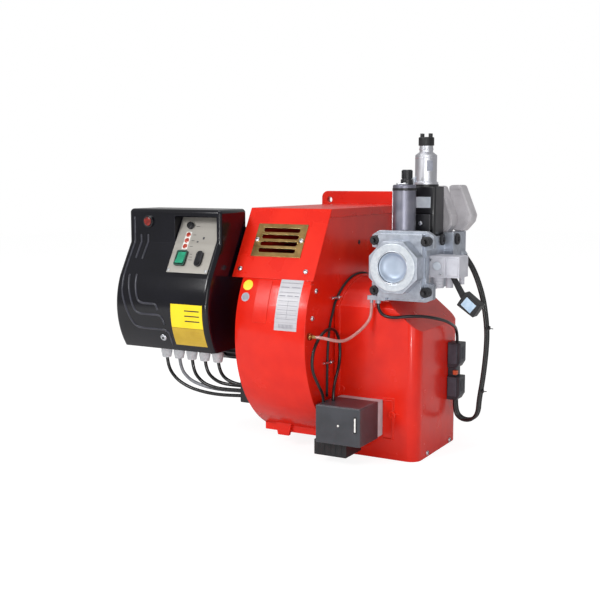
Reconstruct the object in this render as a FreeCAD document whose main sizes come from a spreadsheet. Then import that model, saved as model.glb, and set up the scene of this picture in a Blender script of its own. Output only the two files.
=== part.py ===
"""Forced-draught industrial gas burner with its gas valve train and control box.

The origin is the centre of the boiler flange's rear face, on the flame axis.
+X is to the viewer's right, +Y is the way the flame goes, +Z is up.  Millimetres.
"""

import FreeCAD, Part
import math
import os
import Sketcher

Vector = FreeCAD.Vector
Rotation = FreeCAD.Rotation

# Driving dimensions, in millimetres, degrees and counts

SIZES = {
    # casting that holds the fan and the air chamber
    "wall": 6.0,
    "chamber_width": 175.0,
    "scroll_left": 62.5,
    "wheel_back": 271.0,
    "wheel_drop": 156.0,
    "scroll_radius": 208.0,
    "scroll_step": 7.0,
    "roof_height": 96.0,
    "floor_drop": 96.0,
    "throat_back": 110.0,
    "motor_hole_radius": 80.0,
    "eye_radius": 80.0,
    "foot_rise": 12.0,
    "foot_root": 28.0,
    "foot_reach": 14.0,
    "rim_bead": 2.5,
    "rim_width": 9.0,
    # hood over the air chamber
    "hood_head": 379.0,
    "hood_foot": 453.0,
    "hood_foot_drop": 36.0,
    "hood_sheet": 2.5,
    "hood_lip": 14.0,
    "grille_width": 110.0,
    "grille_rise": 70.0,
    "grille_sheet": 1.5,
    "grille_left": 60.0,
    "grille_foot": 46.0,
    "slot_width": 84.0,
    "slot_rise": 9.0,
    "slot_pitch": 14.5,
    "slot_count": 4,
    # flange that bolts to the boiler, and the blast tube
    "flange_side": 250.0,
    "flange_thick": 15.0,
    "flange_corner": 15.0,
    "flange_pitch": 210.0,
    "flange_bolt": 13.0,
    "tube_radius": 80.0,
    "tube_wall": 4.0,
    "tube_reach": 190.0,
    "tube_spigot": 25.0,
    # firing head inside the blast tube
    "lance_radius": 20.0,
    "lance_wall": 3.0,
    "disc_radius": 66.0,
    "disc_place": 140.0,
    "disc_sheet": 2.0,
    "swirl_count": 16,
    "gas_port_count": 8,
    "electrode_radius": 1.5,
    "insulator_radius": 5.0,
    "electrode_circle": 44.0,
    # air box with its damper
    "box_front": 360.0,
    "box_depth": 212.0,
    "box_width": 176.0,
    "box_drop": 382.0,
    "box_wall": 5.0,
    "arch_radius": 140.0,
    "arch_drop": 182.0,
    "slope_start": 66.0,
    "slope_end_drop": 132.0,
    "box_corner": 22.0,
    "box_lip": 4.0,
    "box_lip_width": 10.0,
    "emboss_height": 1.5,
    "seal_thick": 2.0,
    "seal_inset": 2.5,
    "intake_slot": 9.0,
    "intake_pitch": 14.0,
    "intake_count": 11,
    "intake_sheet": 3.0,
    "damper_right": 173.0,
    "damper_drop": 287.0,
    "damper_shaft_radius": 6.0,
    "damper_half": 80.0,
    "damper_sheet": 3.0,
    "damper_edge_gap": 5.0,
    "running_gap": 0.05,
    "touch_gap": 0.3,
    # damper actuator
    "servo_left": 101.5,
    "servo_width": 92.0,
    "servo_drop": 337.0,
    "servo_rise": 72.0,
    "servo_depth": 80.0,
    "servo_base": 24.0,
    # fan wheel and motor
    "wheel_radius": 150.0,
    "blade_root": 98.0,
    "blade_lead": 12.0,
    "blade_bend": 45.0,
    "blade_width": 90.0,
    "blade_sheet": 1.6,
    "blade_count": 30,
    "wheel_sheet": 2.0,
    "wheel_left": 40.0,
    "cone_throat": 74.0,
    "cone_depth": 36.0,
    "shaft_radius": 7.0,
    "hub_radius": 20.0,
    "motor_radius": 74.0,
    "motor_length": 128.0,
    "motor_flange": 8.0,
    "motor_flange_radius": 95.0,
    "fin_count": 24,
    "fin_height": 5.0,
    "cowl_length": 44.0,
    "cowl_slots": 12,
    "cooling_blades": 8,
    # control box
    "control_right": 94.5,
    "control_width": 220.0,
    "control_top": 94.0,
    "control_back": 395.0,
    "control_front": 484.0,
    "control_knee": 28.0,
    "control_hip_front": 520.0,
    "control_hip_drop": 35.0,
    "control_belly": 146.0,
    "control_toe_front": 507.0,
    "control_drop": 180.0,
    "control_wall": 3.0,
    "control_round": 8.0,
    "panel_left": 200.0,
    "panel_width": 95.0,
    "panel_height": 120.0,
    "panel_sheet": 1.5,
    "recess_top": 81.0,
    "bezel_height": 32.0,
    "power_width": 25.0,
    "power_round": 4.0,
    "stage_width": 15.0,
    "stage_round": 7.0,
    "bezel_rim": 3.0,
    "rocker_tilt": 7.0,
    "pivot_radius": 1.5,
    "lamp_radius": 4.0,
    "button_radius": 9.0,
    "button_travel": 3.0,
    "gland_radius": 12.0,
    "gland_length": 18.0,
    "gland_pitch": 32.0,
    "gland_thread": 7.7,
    "gland_left": 278.0,
    "gland_count": 5,
    "gland_front": 415.0,
    "rail_sheet": 3.0,
    # gas valve train
    "valve_right": 229.0,
    "valve_drop": 8.0,
    "valve_front": 375.0,
    "valve_width": 88.0,
    "valve_height": 119.0,
    "valve_plate": 14.0,
    "valve_ear": 13.0,
    "valve_block_back": 205.0,
    "inlet_flats": 96.0,
    "inlet_length": 31.0,
    "inlet_bore": 28.3,
    "thread_length": 24.0,
    "valve_bolt_radius": 9.0,
    "coil_radius": 22.0,
    "coil_height": 95.0,
    "coil_block_height": 94.0,
    "brake_radius": 21.0,
    "brake_height": 52.0,
    "elbow_radius": 28.0,
    "elbow_wall": 4.0,
    "elbow_bend": 45.0,
    "side_pipe_radius": 14.0,
    "regulator_round": 7.0,
    "elbow_back": 115.0,
    # cables and hoses
    "cable": 7.0,
    "loop_cable": 6.0,
    "hose": 6.0,
}

doc = FreeCAD.newDocument("gas_burner")
sheet = doc.addObject("Spreadsheet::Sheet", "sizes")
for row, (alias, value) in enumerate(SIZES.items(), start=1):
    sheet.set(f"A{row}", alias)
    sheet.set(f"B{row}", str(value))
    sheet.setAlias(f"B{row}", alias)
doc.recompute()


class Size:
    """A number together with the sheet expression that gives it."""

    def __init__(self, number, text):
        self.number = float(number)
        self.text = text

    def __add__(self, other):
        other = as_size(other)
        return Size(self.number + other.number, f"({self.text} + {other.text})")

    def __sub__(self, other):
        other = as_size(other)
        return Size(self.number - other.number, f"({self.text} - {other.text})")

    def __mul__(self, other):
        other = as_size(other)
        return Size(self.number * other.number, f"({self.text} * {other.text})")

    def __truediv__(self, other):
        other = as_size(other)
        return Size(self.number / other.number, f"({self.text} / {other.text})")

    def __radd__(self, other):
        return as_size(other) + self

    def __rsub__(self, other):
        return as_size(other) - self

    def __rmul__(self, other):
        return as_size(other) * self

    def __rtruediv__(self, other):
        return as_size(other) / self

    def __neg__(self):
        return Size(-self.number, f"(0 - {self.text})")


def as_size(value):
    """A plain number as a Size."""
    if isinstance(value, Size):
        return value
    return Size(value, f"({value})")


def root(value):
    """Square root."""
    return Size(math.sqrt(value.number), f"sqrt({value.text})")


def arc_tangent(value):
    """Angle in degrees whose tangent is the value."""
    return Size(math.degrees(math.atan(value.number)), f"(atan({value.text}) / 1 deg)")


def cosine(angle):
    """Cosine of an angle in degrees."""
    angle = as_size(angle)
    return Size(math.cos(math.radians(angle.number)), f"cos({angle.text} * 1 deg)")


def sine(angle):
    """Sine of an angle in degrees."""
    angle = as_size(angle)
    return Size(math.sin(math.radians(angle.number)), f"sin({angle.text} * 1 deg)")


class Dimensions:
    """Gives each driving dimension by its name."""

    def __getattr__(self, name):
        return Size(sheet.get(name), "sizes." + name)


dim = Dimensions()
nodes = {}


def keep(obj, name):
    """Name the finished sub-part; its label is the name of its file."""
    obj.Label = name
    nodes[name] = obj
    return obj


# Ways to face: which way a piece's own x, y and z point

FACINGS = {
    "Z": Rotation(),
    "-Z": Rotation(Vector(1, 0, 0), 180),
    "-Y": Rotation(Vector(1, 0, 0), 90),
    "Y": Rotation(Vector(1, 0, 0), -90),
    "X": Rotation(Vector(1, 1, 1), 120),
    "-X": Rotation(Vector(0, 1, 0), -90),
}


class Slope:
    """A plane that leans back: it goes through (y, z) and rises by lean in y for each mm of z."""

    def __init__(self, y, z, lean):
        self.y = y
        self.z = z
        self.angle = arc_tangent(lean)
        self.turn = 90 - self.angle

    def at(self, x, up, out):
        """The point at x, up along the slope and out from it."""
        y = self.y + up * sine(self.angle) - out * cosine(self.angle)
        z = self.z + up * cosine(self.angle) + out * sine(self.angle)
        return (x, y, z)


def set_place(obj, point, facing="Z", turn=None):
    """Put an object's own origin at the point, facing a named way or along a slope."""
    x, y, z = [as_size(value) for value in point]
    rotation = FACINGS.get(facing, Rotation())
    if turn is not None:
        rotation = Rotation(Vector(1, 0, 0), turn.number)
    obj.Placement = FreeCAD.Placement(Vector(x.number, y.number, z.number), rotation)
    obj.setExpression("Placement.Base.x", x.text)
    obj.setExpression("Placement.Base.y", y.text)
    obj.setExpression("Placement.Base.z", z.text)
    if turn is not None:
        obj.setExpression("Placement.Rotation.Angle", turn.text)
    return obj


def bind(obj, **values):
    """Tie properties of an object to the sheet."""
    for name, value in values.items():
        value = as_size(value)
        setattr(obj, name, value.number)
        obj.setExpression(name, value.text)
    return obj


def box(name, corner, extent, turn=None):
    """A block from its low corner."""
    block = doc.addObject("Part::Box", name)
    bind(block, Length=extent[0], Width=extent[1], Height=extent[2])
    return set_place(block, corner, "Z", turn)


def cylinder(name, start, facing, radius, length, turn=None):
    """A round bar from its start, along the way it faces."""
    bar = doc.addObject("Part::Cylinder", name)
    bind(bar, Radius=radius, Height=length)
    return set_place(bar, start, facing, turn)


def fuse(name, *shapes):
    """Several shapes joined to one."""
    joined = doc.addObject("Part::MultiFuse", name)
    joined.Shapes = list(shapes)
    joined.Refine = True
    return joined


def cut(name, base, *tools):
    """A shape less one or more others."""
    result = doc.addObject("Part::Cut", name)
    result.Base = base
    result.Tool = tools[0] if len(tools) == 1 else fuse(name + "_tools", *tools)
    result.Refine = True
    return result


def common(name, *shapes):
    """What several shapes share."""
    shared = doc.addObject("Part::MultiCommon", name)
    shared.Shapes = list(shapes)
    return shared


def group(name, *shapes):
    """Separate solids that are listed as one sub-part."""
    held = doc.addObject("Part::Compound", name)
    held.Links = list(shapes)
    return held


def arc_between(start, end, radius, turn):
    """The shorter arc from start to end; turn is 1 for counter-clockwise and -1 for clockwise."""
    half = (end - start) * 0.5
    reach = math.sqrt(max(radius * radius - half.Length**2, 0.0))
    outward = Vector(half.y, -half.x, 0).normalize() * turn
    centre = start + half - outward * reach
    return Part.Arc(start, centre + outward * radius, end)


def draw(body, name, path, holes=()):
    """A closed sketch on the body's own XY plane, each corner and radius tied to the sheet.

    A path entry is (u, v) for a straight edge to that point, or (u, v, radius, turn) for an arc.
    """
    sketch = body.newObject("Sketcher::SketchObject", name)
    plane = next(item for item in body.Origin.OriginFeatures if item.Role == "XY_Plane")
    sketch.AttachmentSupport = [(plane, "")]
    sketch.MapMode = "FlatFace"
    corners = [(as_size(entry[0]), as_size(entry[1])) for entry in path]
    points = [Vector(u.number, v.number, 0) for u, v in corners]
    count = len(path)
    for index in range(count):
        start, end = points[index], points[(index + 1) % count]
        entry = path[(index + 1) % count]
        if len(entry) == 4:
            radius = as_size(entry[2])
            arc = arc_between(start, end, radius.number, entry[3])
            edge = sketch.addGeometry(arc, False)
            sketch.addConstraint(Sketcher.Constraint("Radius", edge, radius.number))
            sketch.setExpression(f"Constraints[{sketch.ConstraintCount - 1}]", radius.text)
        else:
            sketch.addGeometry(Part.LineSegment(start, end), False)
    ends = []
    for index in range(count):
        entry = path[(index + 1) % count]
        backwards = len(entry) == 4 and entry[3] < 0
        ends.append((2, 1) if backwards else (1, 2))
    for index in range(count):
        following = (index + 1) % count
        sketch.addConstraint(
            Sketcher.Constraint("Coincident", index, ends[index][1], following, ends[following][0])
        )
        for way, value in zip(("DistanceX", "DistanceY"), corners[index]):
            sketch.addConstraint(
                Sketcher.Constraint(way, -1, 1, index, ends[index][0], value.number)
            )
            sketch.setExpression(f"Constraints[{sketch.ConstraintCount - 1}]", value.text)
    for u, v, radius in holes:
        u, v, radius = as_size(u), as_size(v), as_size(radius)
        circle = Part.Circle(Vector(u.number, v.number, 0), Vector(0, 0, 1), radius.number)
        edge = sketch.addGeometry(circle, False)
        for constraint, value in (
            (Sketcher.Constraint("Radius", edge, radius.number), radius),
            (Sketcher.Constraint("DistanceX", -1, 1, edge, 3, u.number), u),
            (Sketcher.Constraint("DistanceY", -1, 1, edge, 3, v.number), v),
        ):
            sketch.addConstraint(constraint)
            sketch.setExpression(f"Constraints[{sketch.ConstraintCount - 1}]", value.text)
    return sketch


def prism(name, point, facing, path, length, holes=(), turn=None):
    """A padded outline: the pad runs along the way that the piece faces."""
    body = doc.addObject("PartDesign::Body", name)
    sketch = draw(body, name + "_outline", path, holes)
    pad = body.newObject("PartDesign::Pad", name + "_pad")
    pad.Profile = sketch
    bind(pad, Length=length)
    set_place(body, point, facing, turn)
    return body


def turned(name, point, facing, path, turn=None):
    """A revolved outline of (radius, height) points round the way that the piece faces."""
    body = doc.addObject("PartDesign::Body", name)
    sketch = draw(body, name + "_outline", path)
    plane = next(item for item in body.Origin.OriginFeatures if item.Role == "XZ_Plane")
    sketch.AttachmentSupport = [(plane, "")]
    revolution = body.newObject("PartDesign::Revolution", name + "_revolution")
    revolution.Profile = sketch
    revolution.ReferenceAxis = (sketch, ["V_Axis"])
    revolution.Angle = 360.0
    set_place(body, point, facing, turn)
    return body


def rectangle(low_u, low_v, high_u, high_v):
    """Corners of an upright rectangle."""
    return [(low_u, low_v), (high_u, low_v), (high_u, high_v), (low_u, high_v)]


def regular(count, flats, u=0, v=0):
    """Corners of a regular polygon of that width across its flats, with a flat on top."""
    corner = as_size(flats) / 2 / math.cos(math.pi / count)
    points = []
    for index in range(count):
        angle = (index + 0.5) * 360.0 / count + 90.0
        points.append((u + corner * cosine(angle), v + corner * sine(angle)))
    return points


def round_edges(body, radius, test):
    """Fillet the edges of a body's tip for which test(edge) is true, in the body's own frame."""
    doc.recompute()
    tip = body.Tip
    chosen = [f"Edge{i}" for i, edge in enumerate(tip.Shape.Edges, start=1) if test(edge)]
    fillet = body.newObject("PartDesign::Fillet", body.Name + "_round")
    fillet.Base = (tip, chosen)
    bind(fillet, Radius=radius)
    return body


def along_z(edge):
    """True for a straight edge along the body's own z."""
    if len(edge.Vertexes) != 2:
        return False
    run = edge.Vertexes[1].Point - edge.Vertexes[0].Point
    return abs(run.x) < 1e-4 and abs(run.y) < 1e-4


def polar(body, feature, count):
    """Repeat a feature round the body's own z."""
    pattern = body.newObject("PartDesign::PolarPattern", body.Name + "_pattern")
    pattern.Originals = [feature]
    axis = next(item for item in body.Origin.OriginFeatures if item.Role == "Z_Axis")
    pattern.Axis = (axis, [""])
    pattern.Angle = 360.0
    pattern.Occurrences = int(count.number)
    pattern.setExpression("Occurrences", count.text)
    body.Tip = pattern
    return pattern


def pad_more(body, name, path, length, holes=()):
    """Add another pad to a body."""
    sketch = draw(body, name + "_outline", path, holes)
    pad = body.newObject("PartDesign::Pad", name)
    pad.Profile = sketch
    bind(pad, Length=length)
    return pad


def pocket_through(body, name, path):
    """Cut an outline right through a body, both ways from its own XY plane."""
    before = body.Tip
    sketch = draw(body, name + "_outline", path)
    pocket = body.newObject("PartDesign::Pocket", name)
    pocket.Profile = sketch
    pocket.Type = "ThroughAll"
    pocket.SideType = "Two sides"
    pocket.Type2 = "ThroughAll"
    doc.recompute()
    if pocket.Shape.Volume > before.Shape.Volume - 1e-3:
        raise RuntimeError(name + " cuts nothing")
    return pocket


def revolve_more(body, name, path):
    """Add a revolved outline to a body, round its own z."""
    sketch = draw(body, name + "_outline", path)
    plane = next(item for item in body.Origin.OriginFeatures if item.Role == "XZ_Plane")
    sketch.AttachmentSupport = [(plane, "")]
    revolution = body.newObject("PartDesign::Revolution", name)
    revolution.Profile = sketch
    revolution.ReferenceAxis = (sketch, ["V_Axis"])
    revolution.Angle = 360.0
    return revolution


# Casting round the fan and the air chamber: an open scroll, a throat and a straight chamber

HALF = dim.chamber_width / 2
WHEEL_Y = -dim.wheel_back
WHEEL_Z = -dim.wheel_drop
FOOT_DROP = dim.wheel_drop + dim.scroll_radius - dim.foot_rise
ROOF = dim.roof_height - dim.hood_sheet
LEAN = (dim.hood_foot - dim.hood_head) / (dim.roof_height + dim.hood_foot_drop)
HOOD_DEPTH = dim.hood_sheet * root(1 + LEAN * LEAN)


def hood_line(z, behind=0):
    """How far in front of the flange the hood's face stands at height z."""
    return -dim.hood_foot + (z + dim.hood_foot_drop) * LEAN + behind


def scroll_path(inset):
    """Outline of the scroll in Y and Z: three arcs, each a step larger than the one before."""
    step = dim.scroll_step
    first = dim.scroll_radius - inset
    second = first + step
    third = second + step
    top = WHEEL_Z + step + third
    return [
        (WHEEL_Y + first, top),
        (WHEEL_Y + first, WHEEL_Z),
        (WHEEL_Y, WHEEL_Z - first, first, -1),
        (WHEEL_Y - second, WHEEL_Z + step, second, -1),
        (WHEEL_Y + step, top, third, -1),
    ]


def make_housing():
    wall = dim.wall
    throat = dim.throat_back
    overhang = dim.hood_foot_drop + 24
    scroll = prism("scroll_outer", (-dim.scroll_left, 0, 0), "X", scroll_path(0), dim.scroll_left + HALF)
    scroll_room = prism(
        "scroll_room", (wall - dim.scroll_left, 0, 0), "X",
        scroll_path(wall), dim.scroll_left + HALF - 2 * wall,
    )
    chamber_path = [
        (hood_line(-dim.hood_foot_drop, HOOD_DEPTH), -dim.hood_foot_drop),
        (hood_line(ROOF, HOOD_DEPTH), ROOF),
        (-dim.flange_thick, ROOF),
        (-dim.flange_thick, -dim.floor_drop),
        (-throat, -dim.floor_drop),
        (-throat - overhang, -dim.hood_foot_drop),
    ]
    room_path = [
        (-dim.hood_foot - wall, wall - dim.hood_foot_drop),
        (-dim.hood_foot - wall, ROOF - wall),
        (wall, ROOF - wall),
        (wall, wall - dim.floor_drop),
        (wall / 2 - throat, wall - dim.floor_drop),
        (wall / 2 - throat - overhang, wall - dim.hood_foot_drop),
    ]
    chamber = prism("chamber_outer", (-HALF, 0, 0), "X", chamber_path, dim.chamber_width)
    chamber_room = prism(
        "chamber_room", (wall - HALF, 0, 0), "X", room_path, dim.chamber_width - 2 * wall
    )
    foot_height = dim.foot_root - dim.foot_rise
    foot = box(
        "scroll_foot", (-dim.scroll_left, -dim.box_front - dim.foot_reach, -FOOT_DROP),
        (dim.scroll_left + HALF, dim.box_depth, foot_height),
    )
    leg_top = foot_height + dim.foot_reach
    leg = prism(
        "foot_leg", (0, -dim.box_front - dim.foot_reach, -FOOT_DROP), "-Y",
        [(-36, leg_top), (-29, -6), (-4, -6), (5, leg_top)], 8,
    )
    bead_outer = prism("rim_bead_outer", (HALF, 0, 0), "X", scroll_path(0), dim.rim_bead)
    bead_inner = prism(
        "rim_bead_inner", (HALF - 1, 0, 0), "X", scroll_path(dim.rim_width), dim.rim_bead + 2
    )
    bead_end = box(
        "rim_bead_end", (HALF - 1, -dim.box_front - dim.box_lip - 5, -2 * FOOT_DROP),
        (dim.rim_bead + 2, 2 * dim.box_front, 3 * FOOT_DROP),
    )
    bead_top = box(
        "rim_bead_top", (HALF - 1, -2 * dim.hood_foot, -dim.hood_foot_drop - 6),
        (dim.rim_bead + 2, 3 * dim.hood_foot, 2 * FOOT_DROP),
    )
    bead = cut("rim_bead", bead_outer, bead_inner, bead_end, bead_top)
    eye = cylinder(
        "eye_hole", (HALF - 2 * wall, WHEEL_Y, WHEEL_Z), "X", dim.eye_radius, 3 * wall
    )
    motor_hole = cylinder(
        "motor_hole", (wall - dim.scroll_left, WHEEL_Y, WHEEL_Z), "-X", dim.motor_hole_radius, 3 * wall
    )
    gas_hole = cylinder(
        "gas_hole", (HALF - 2 * wall, -dim.elbow_back, -dim.valve_drop), "X",
        dim.side_pipe_radius + dim.touch_gap, 3 * wall,
    )
    low = -dim.hood_foot_drop
    land = prism(
        "hood_land", (-HALF - 1, 0, 0), "X",
        [
            (hood_line(low, HOOD_DEPTH), low), (hood_line(ROOF, HOOD_DEPTH), ROOF),
            (hood_line(ROOF, -20), ROOF), (hood_line(low, -20), low),
        ],
        dim.chamber_width + 2,
    )
    outer = fuse("housing_outer", scroll, chamber, foot, leg, bead)
    shell = cut("housing_shell", outer, scroll_room, chamber_room, land, eye, motor_hole, gas_hole)
    inner = dim.scroll_radius - wall
    tongue = prism(
        "cut_off_tongue", (wall - dim.scroll_left, 0, 0), "X",
        [
            (WHEEL_Y + inner, WHEEL_Z + 40),
            (WHEEL_Y + 124, WHEEL_Z + 106, 190, 1),
            (WHEEL_Y + 128, WHEEL_Z + 112),
            (WHEEL_Y + inner, WHEEL_Z + 62, 190, -1),
        ],
        dim.scroll_left + HALF - 2 * wall,
    )
    lugs = []
    for index, left in enumerate((wall - HALF, HALF - wall - 14)):
        lugs.append(
            prism(
                f"hood_lug_{index}", (left, 0, 0), "X",
                [
                    (hood_line(wall - dim.hood_foot_drop, HOOD_DEPTH), wall - dim.hood_foot_drop),
                    (hood_line(wall - dim.hood_foot_drop, 30), wall - dim.hood_foot_drop),
                    (hood_line(-6, 22), -6),
                    (hood_line(-6, HOOD_DEPTH), -6),
                ],
                14,
            )
        )
    return keep(fuse("housing_casting", shell, tongue, *lugs), "fan_housing")


# Hood: one folded sheet, a slanted front and a roof with lips over the chamber's sides

def make_hood():
    sheet_gap = dim.hood_sheet
    low = -dim.hood_foot_drop
    path = [
        (hood_line(low), low),
        (hood_line(dim.roof_height), dim.roof_height),
        (-dim.flange_thick, dim.roof_height),
        (-dim.flange_thick, ROOF),
        (hood_line(ROOF, HOOD_DEPTH), ROOF),
        (hood_line(low, HOOD_DEPTH), low),
    ]
    width = dim.chamber_width + 2 * sheet_gap
    folded = prism("hood_fold", (-HALF - sheet_gap, 0, 0), "X", path, width)
    lip_path = [
        (hood_line(ROOF - dim.hood_lip), ROOF - dim.hood_lip),
        (hood_line(ROOF), ROOF),
        (-dim.flange_thick, ROOF),
        (-dim.flange_thick, ROOF - dim.hood_lip),
    ]
    lips = [
        prism(f"hood_lip_{side}", (left, 0, 0), "X", lip_path, sheet_gap)
        for side, left in (("left", -HALF - sheet_gap), ("right", HALF))
    ]
    window = box(
        "hood_window", FRONT.at(8 - dim.grille_left, dim.grille_foot + 8, -10),
        (dim.grille_width - 16, dim.grille_rise - 16, 20), FRONT.turn,
    )
    return keep(cut("hood_sheet_metal", fuse("hood_whole", folded, *lips), window), "access_hood")


FRONT = Slope(-dim.hood_foot, -dim.hood_foot_drop, LEAN)


def make_grille():
    """Brass vent plate with rounded slots, each under a raised louvre lip."""
    plate = prism(
        "grille_plate", FRONT.at(-dim.grille_left, dim.grille_foot, 0), "slope",
        rectangle(0, 0, dim.grille_width, dim.grille_rise), dim.grille_sheet, turn=FRONT.turn,
    )
    side = (dim.grille_width - dim.slot_width) / 2
    half = dim.slot_rise / 2
    end_radius = half * 1.05
    slots = []
    lips = []
    for index in range(int(dim.slot_count.number)):
        foot = dim.grille_rise / 2 + (index - (dim.slot_count - 1) / 2) * dim.slot_pitch
        left = -dim.grille_left + side
        slots.append(
            prism(
                f"slot_{index}", FRONT.at(left, dim.grille_foot + foot - half, -2), "slope",
                [
                    (half, 0, end_radius, 1),
                    (dim.slot_width - half, 0),
                    (dim.slot_width - half, dim.slot_rise, end_radius, 1),
                    (half, dim.slot_rise),
                ],
                8, turn=FRONT.turn,
            )
        )
        lips.append(
            box(
                f"louvre_{index}", FRONT.at(left, dim.grille_foot + foot + half - 1.2, 0),
                (dim.slot_width, 1.2, dim.grille_sheet + 2.5), FRONT.turn,
            )
        )
    pierced = cut("grille_pierced", plate, *slots)
    return keep(fuse("grille_louvred", pierced, *lips), "vent_grille")


def make_hood_screws():
    """Pan-head screws: two hold the hood to its lugs and two hold the vent plate."""
    low = (dim.hood_foot_drop - 20) / cosine(FRONT.angle)
    middle = dim.grille_foot + dim.grille_rise / 2
    places = [(12 - HALF, low, 0), (HALF - 18, low, 0)]
    places += [
        (6 - dim.grille_left, middle, dim.grille_sheet),
        (dim.grille_width - dim.grille_left - 6, middle, dim.grille_sheet),
    ]
    heads = []
    for index, (x, up, out) in enumerate(places):
        path = [(0, 0), (5, 0), (5, 1), (3.5, 3, 3.2, 1), (0, 3.4)]
        heads.append(turned(f"hood_screw_{index}", FRONT.at(x, up, out), "slope", path, FRONT.turn))
    return keep(group("hood_screw_set", *heads), "hood_screws")


# Boiler flange and blast tube

def make_flange():
    half = dim.flange_side / 2
    pitch = dim.flange_pitch / 2
    bolt = dim.flange_bolt / 2
    seat = dim.tube_radius - dim.tube_wall + dim.running_gap
    holes = [(0, 0, seat)]
    holes += [(su * pitch, sv * pitch, bolt) for su in (-1, 1) for sv in (-1, 1)]
    plate = prism(
        "flange_plate", (0, 0, 0), "-Y", rectangle(-half, -half, half, half), dim.flange_thick, holes
    )
    corner = half.number
    round_edges(
        plate, dim.flange_corner,
        lambda edge: along_z(edge) and abs(abs(edge.Vertexes[0].X) - corner) < 1e-3,
    )
    return keep(plate, "boiler_flange")


def make_blast_tube():
    outer = dim.tube_radius
    inner = outer - dim.tube_wall
    neck = inner - dim.tube_wall
    path = [
        (neck, -dim.tube_spigot),
        (inner, -dim.tube_spigot),
        (inner, 0),
        (outer, 0),
        (outer, dim.tube_reach),
        (inner, dim.tube_reach),
        (inner, dim.tube_wall),
        (neck, dim.tube_wall),
    ]
    return keep(turned("tube_turned", (0, 0, 0), "Y", path), "blast_tube")


# Firing head: a gas lance with a ring of ports, a swirl disc, two electrodes and a flame probe

ELECTRODE_ANGLES = (60, 90, 120)


def make_lance():
    """Gas pipe down the flame axis, closed by a nozzle with a ring of ports."""
    outer = dim.lance_radius
    inner = outer - dim.lance_wall
    side = dim.side_pipe_radius
    start = -dim.elbow_back - outer - 12
    end = dim.disc_place + 24
    pipe = turned(
        "lance_pipe", (0, 0, 0), "Y",
        [(0, start), (outer, start), (outer, end), (0, end)],
    )
    branch = cylinder("lance_branch", (0, -dim.elbow_back, -dim.valve_drop), "X", side, HALF)
    room = turned(
        "lance_room", (0, 0, 0), "Y",
        [(0, start + 6), (inner, start + 6), (inner, end - 6), (0, end - 6)],
    )
    ports = []
    for index in range(int(dim.gas_port_count.number)):
        angle = 360 * index / dim.gas_port_count
        port = cylinder(f"gas_port_{index}", (0, end - 12, 0), "Z", 2.5, 2 * outer)
        port.Placement = FreeCAD.Placement(port.Placement.Base, Rotation(Vector(0, 1, 0), angle.number))
        port.setExpression("Placement.Rotation.Angle", angle.text)
        ports.append(port)
    inlet = cylinder("lance_inlet", (0, -dim.elbow_back, -dim.valve_drop), "X", side - 5, HALF + 1)
    circle = dim.electrode_circle
    hole = dim.insulator_radius + dim.touch_gap
    holder = prism(
        "electrode_holder", (0, dim.disc_place - 70, 0), "-Y",
        rectangle(-circle / 2 - 10, outer / 2, circle / 2 + 10, circle + 10), dim.lance_wall,
        [(circle * cosine(angle), circle * sine(angle), hole) for angle in ELECTRODE_ANGLES],
    )
    whole = fuse("lance_whole", pipe, branch, holder)
    return keep(cut("lance_bored", whole, room, inlet, *ports), "gas_lance")


def make_swirl_disc():
    """Disc with slanting slots that set the air turning."""
    rim = dim.disc_radius
    bore = dim.lance_radius + dim.touch_gap
    sheet_thick = dim.disc_sheet
    disc = turned(
        "disc_turned", (0, dim.disc_place, 0), "Y",
        [
            (bore, 0), (rim, 0), (rim, 8), (rim - sheet_thick, 8),
            (rim - sheet_thick, sheet_thick), (bore, sheet_thick),
        ],
    )
    slot = pocket_through(
        disc, "swirl_slot",
        [(bore + 6, -2), (rim - 8, 6), (rim - 8, 10), (bore + 6, 2)],
    )
    polar(disc, slot, dim.swirl_count)
    return keep(disc, "swirl_disc")


def make_electrodes():
    """Two ignition electrodes and the flame probe: a porcelain sleeve round each wire."""
    solids = []
    shoulder = dim.disc_place - 16
    circle = dim.electrode_circle
    for index, angle in enumerate(ELECTRODE_ANGLES):
        solids.append(
            turned(
                f"electrode_{index}", (circle * cosine(angle), 0, circle * sine(angle)), "Y",
                [
                    (0, -60), (dim.insulator_radius, -60), (dim.insulator_radius, shoulder),
                    (dim.electrode_radius, shoulder + 4), (dim.electrode_radius, shoulder + 12),
                    (0, shoulder + 12),
                ],
            )
        )
    return keep(group("electrode_set", *solids), "electrodes")


# Air box: an arched shell, open to the scroll's eye and open below

APEX_DROP = dim.arch_drop - dim.arch_radius
BOX_LEFT = HALF + dim.seal_thick
BOX_RIGHT = HALF + dim.box_width
BOX_FALL = (dim.slope_end_drop - APEX_DROP) / (dim.box_width - dim.slope_start)


def arched_path(inset, floor):
    """Outline of the air box in Y and Z: straight sides under one arc."""
    half = dim.box_depth / 2 - inset
    radius = dim.arch_radius - inset
    middle = dim.box_depth / 2 - dim.box_front
    shoulder = root(radius * radius - half * half) - dim.arch_drop
    return [
        (middle + half, shoulder),
        (middle - half, shoulder, radius, 1),
        (middle - half, floor),
        (middle + half, floor),
    ]


def side_path(inset, left, floor):
    """Outline of the air box in X and Z: flat on top, then falling away to the right."""
    right = BOX_RIGHT - inset
    lower = inset * root(1 + BOX_FALL * BOX_FALL)
    rise = 8
    return [
        (left, floor),
        (right, floor),
        (right, inset * BOX_FALL - lower - dim.slope_end_drop),
        (HALF + dim.slope_start - rise / BOX_FALL, rise - lower - APEX_DROP),
        (left, rise - lower - APEX_DROP),
    ]


def plan_path(inset, left):
    """Outline of the air box in X and Y, with its right-hand corners rounded."""
    right = BOX_RIGHT - inset
    front = inset - dim.box_front
    back = dim.box_depth - dim.box_front - inset
    corner = dim.box_corner - inset
    return [
        (left, front),
        (right - corner, front),
        (right, front + corner, corner, 1),
        (right, back - corner),
        (right - corner, back, corner, 1),
        (left, back),
    ]


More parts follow.
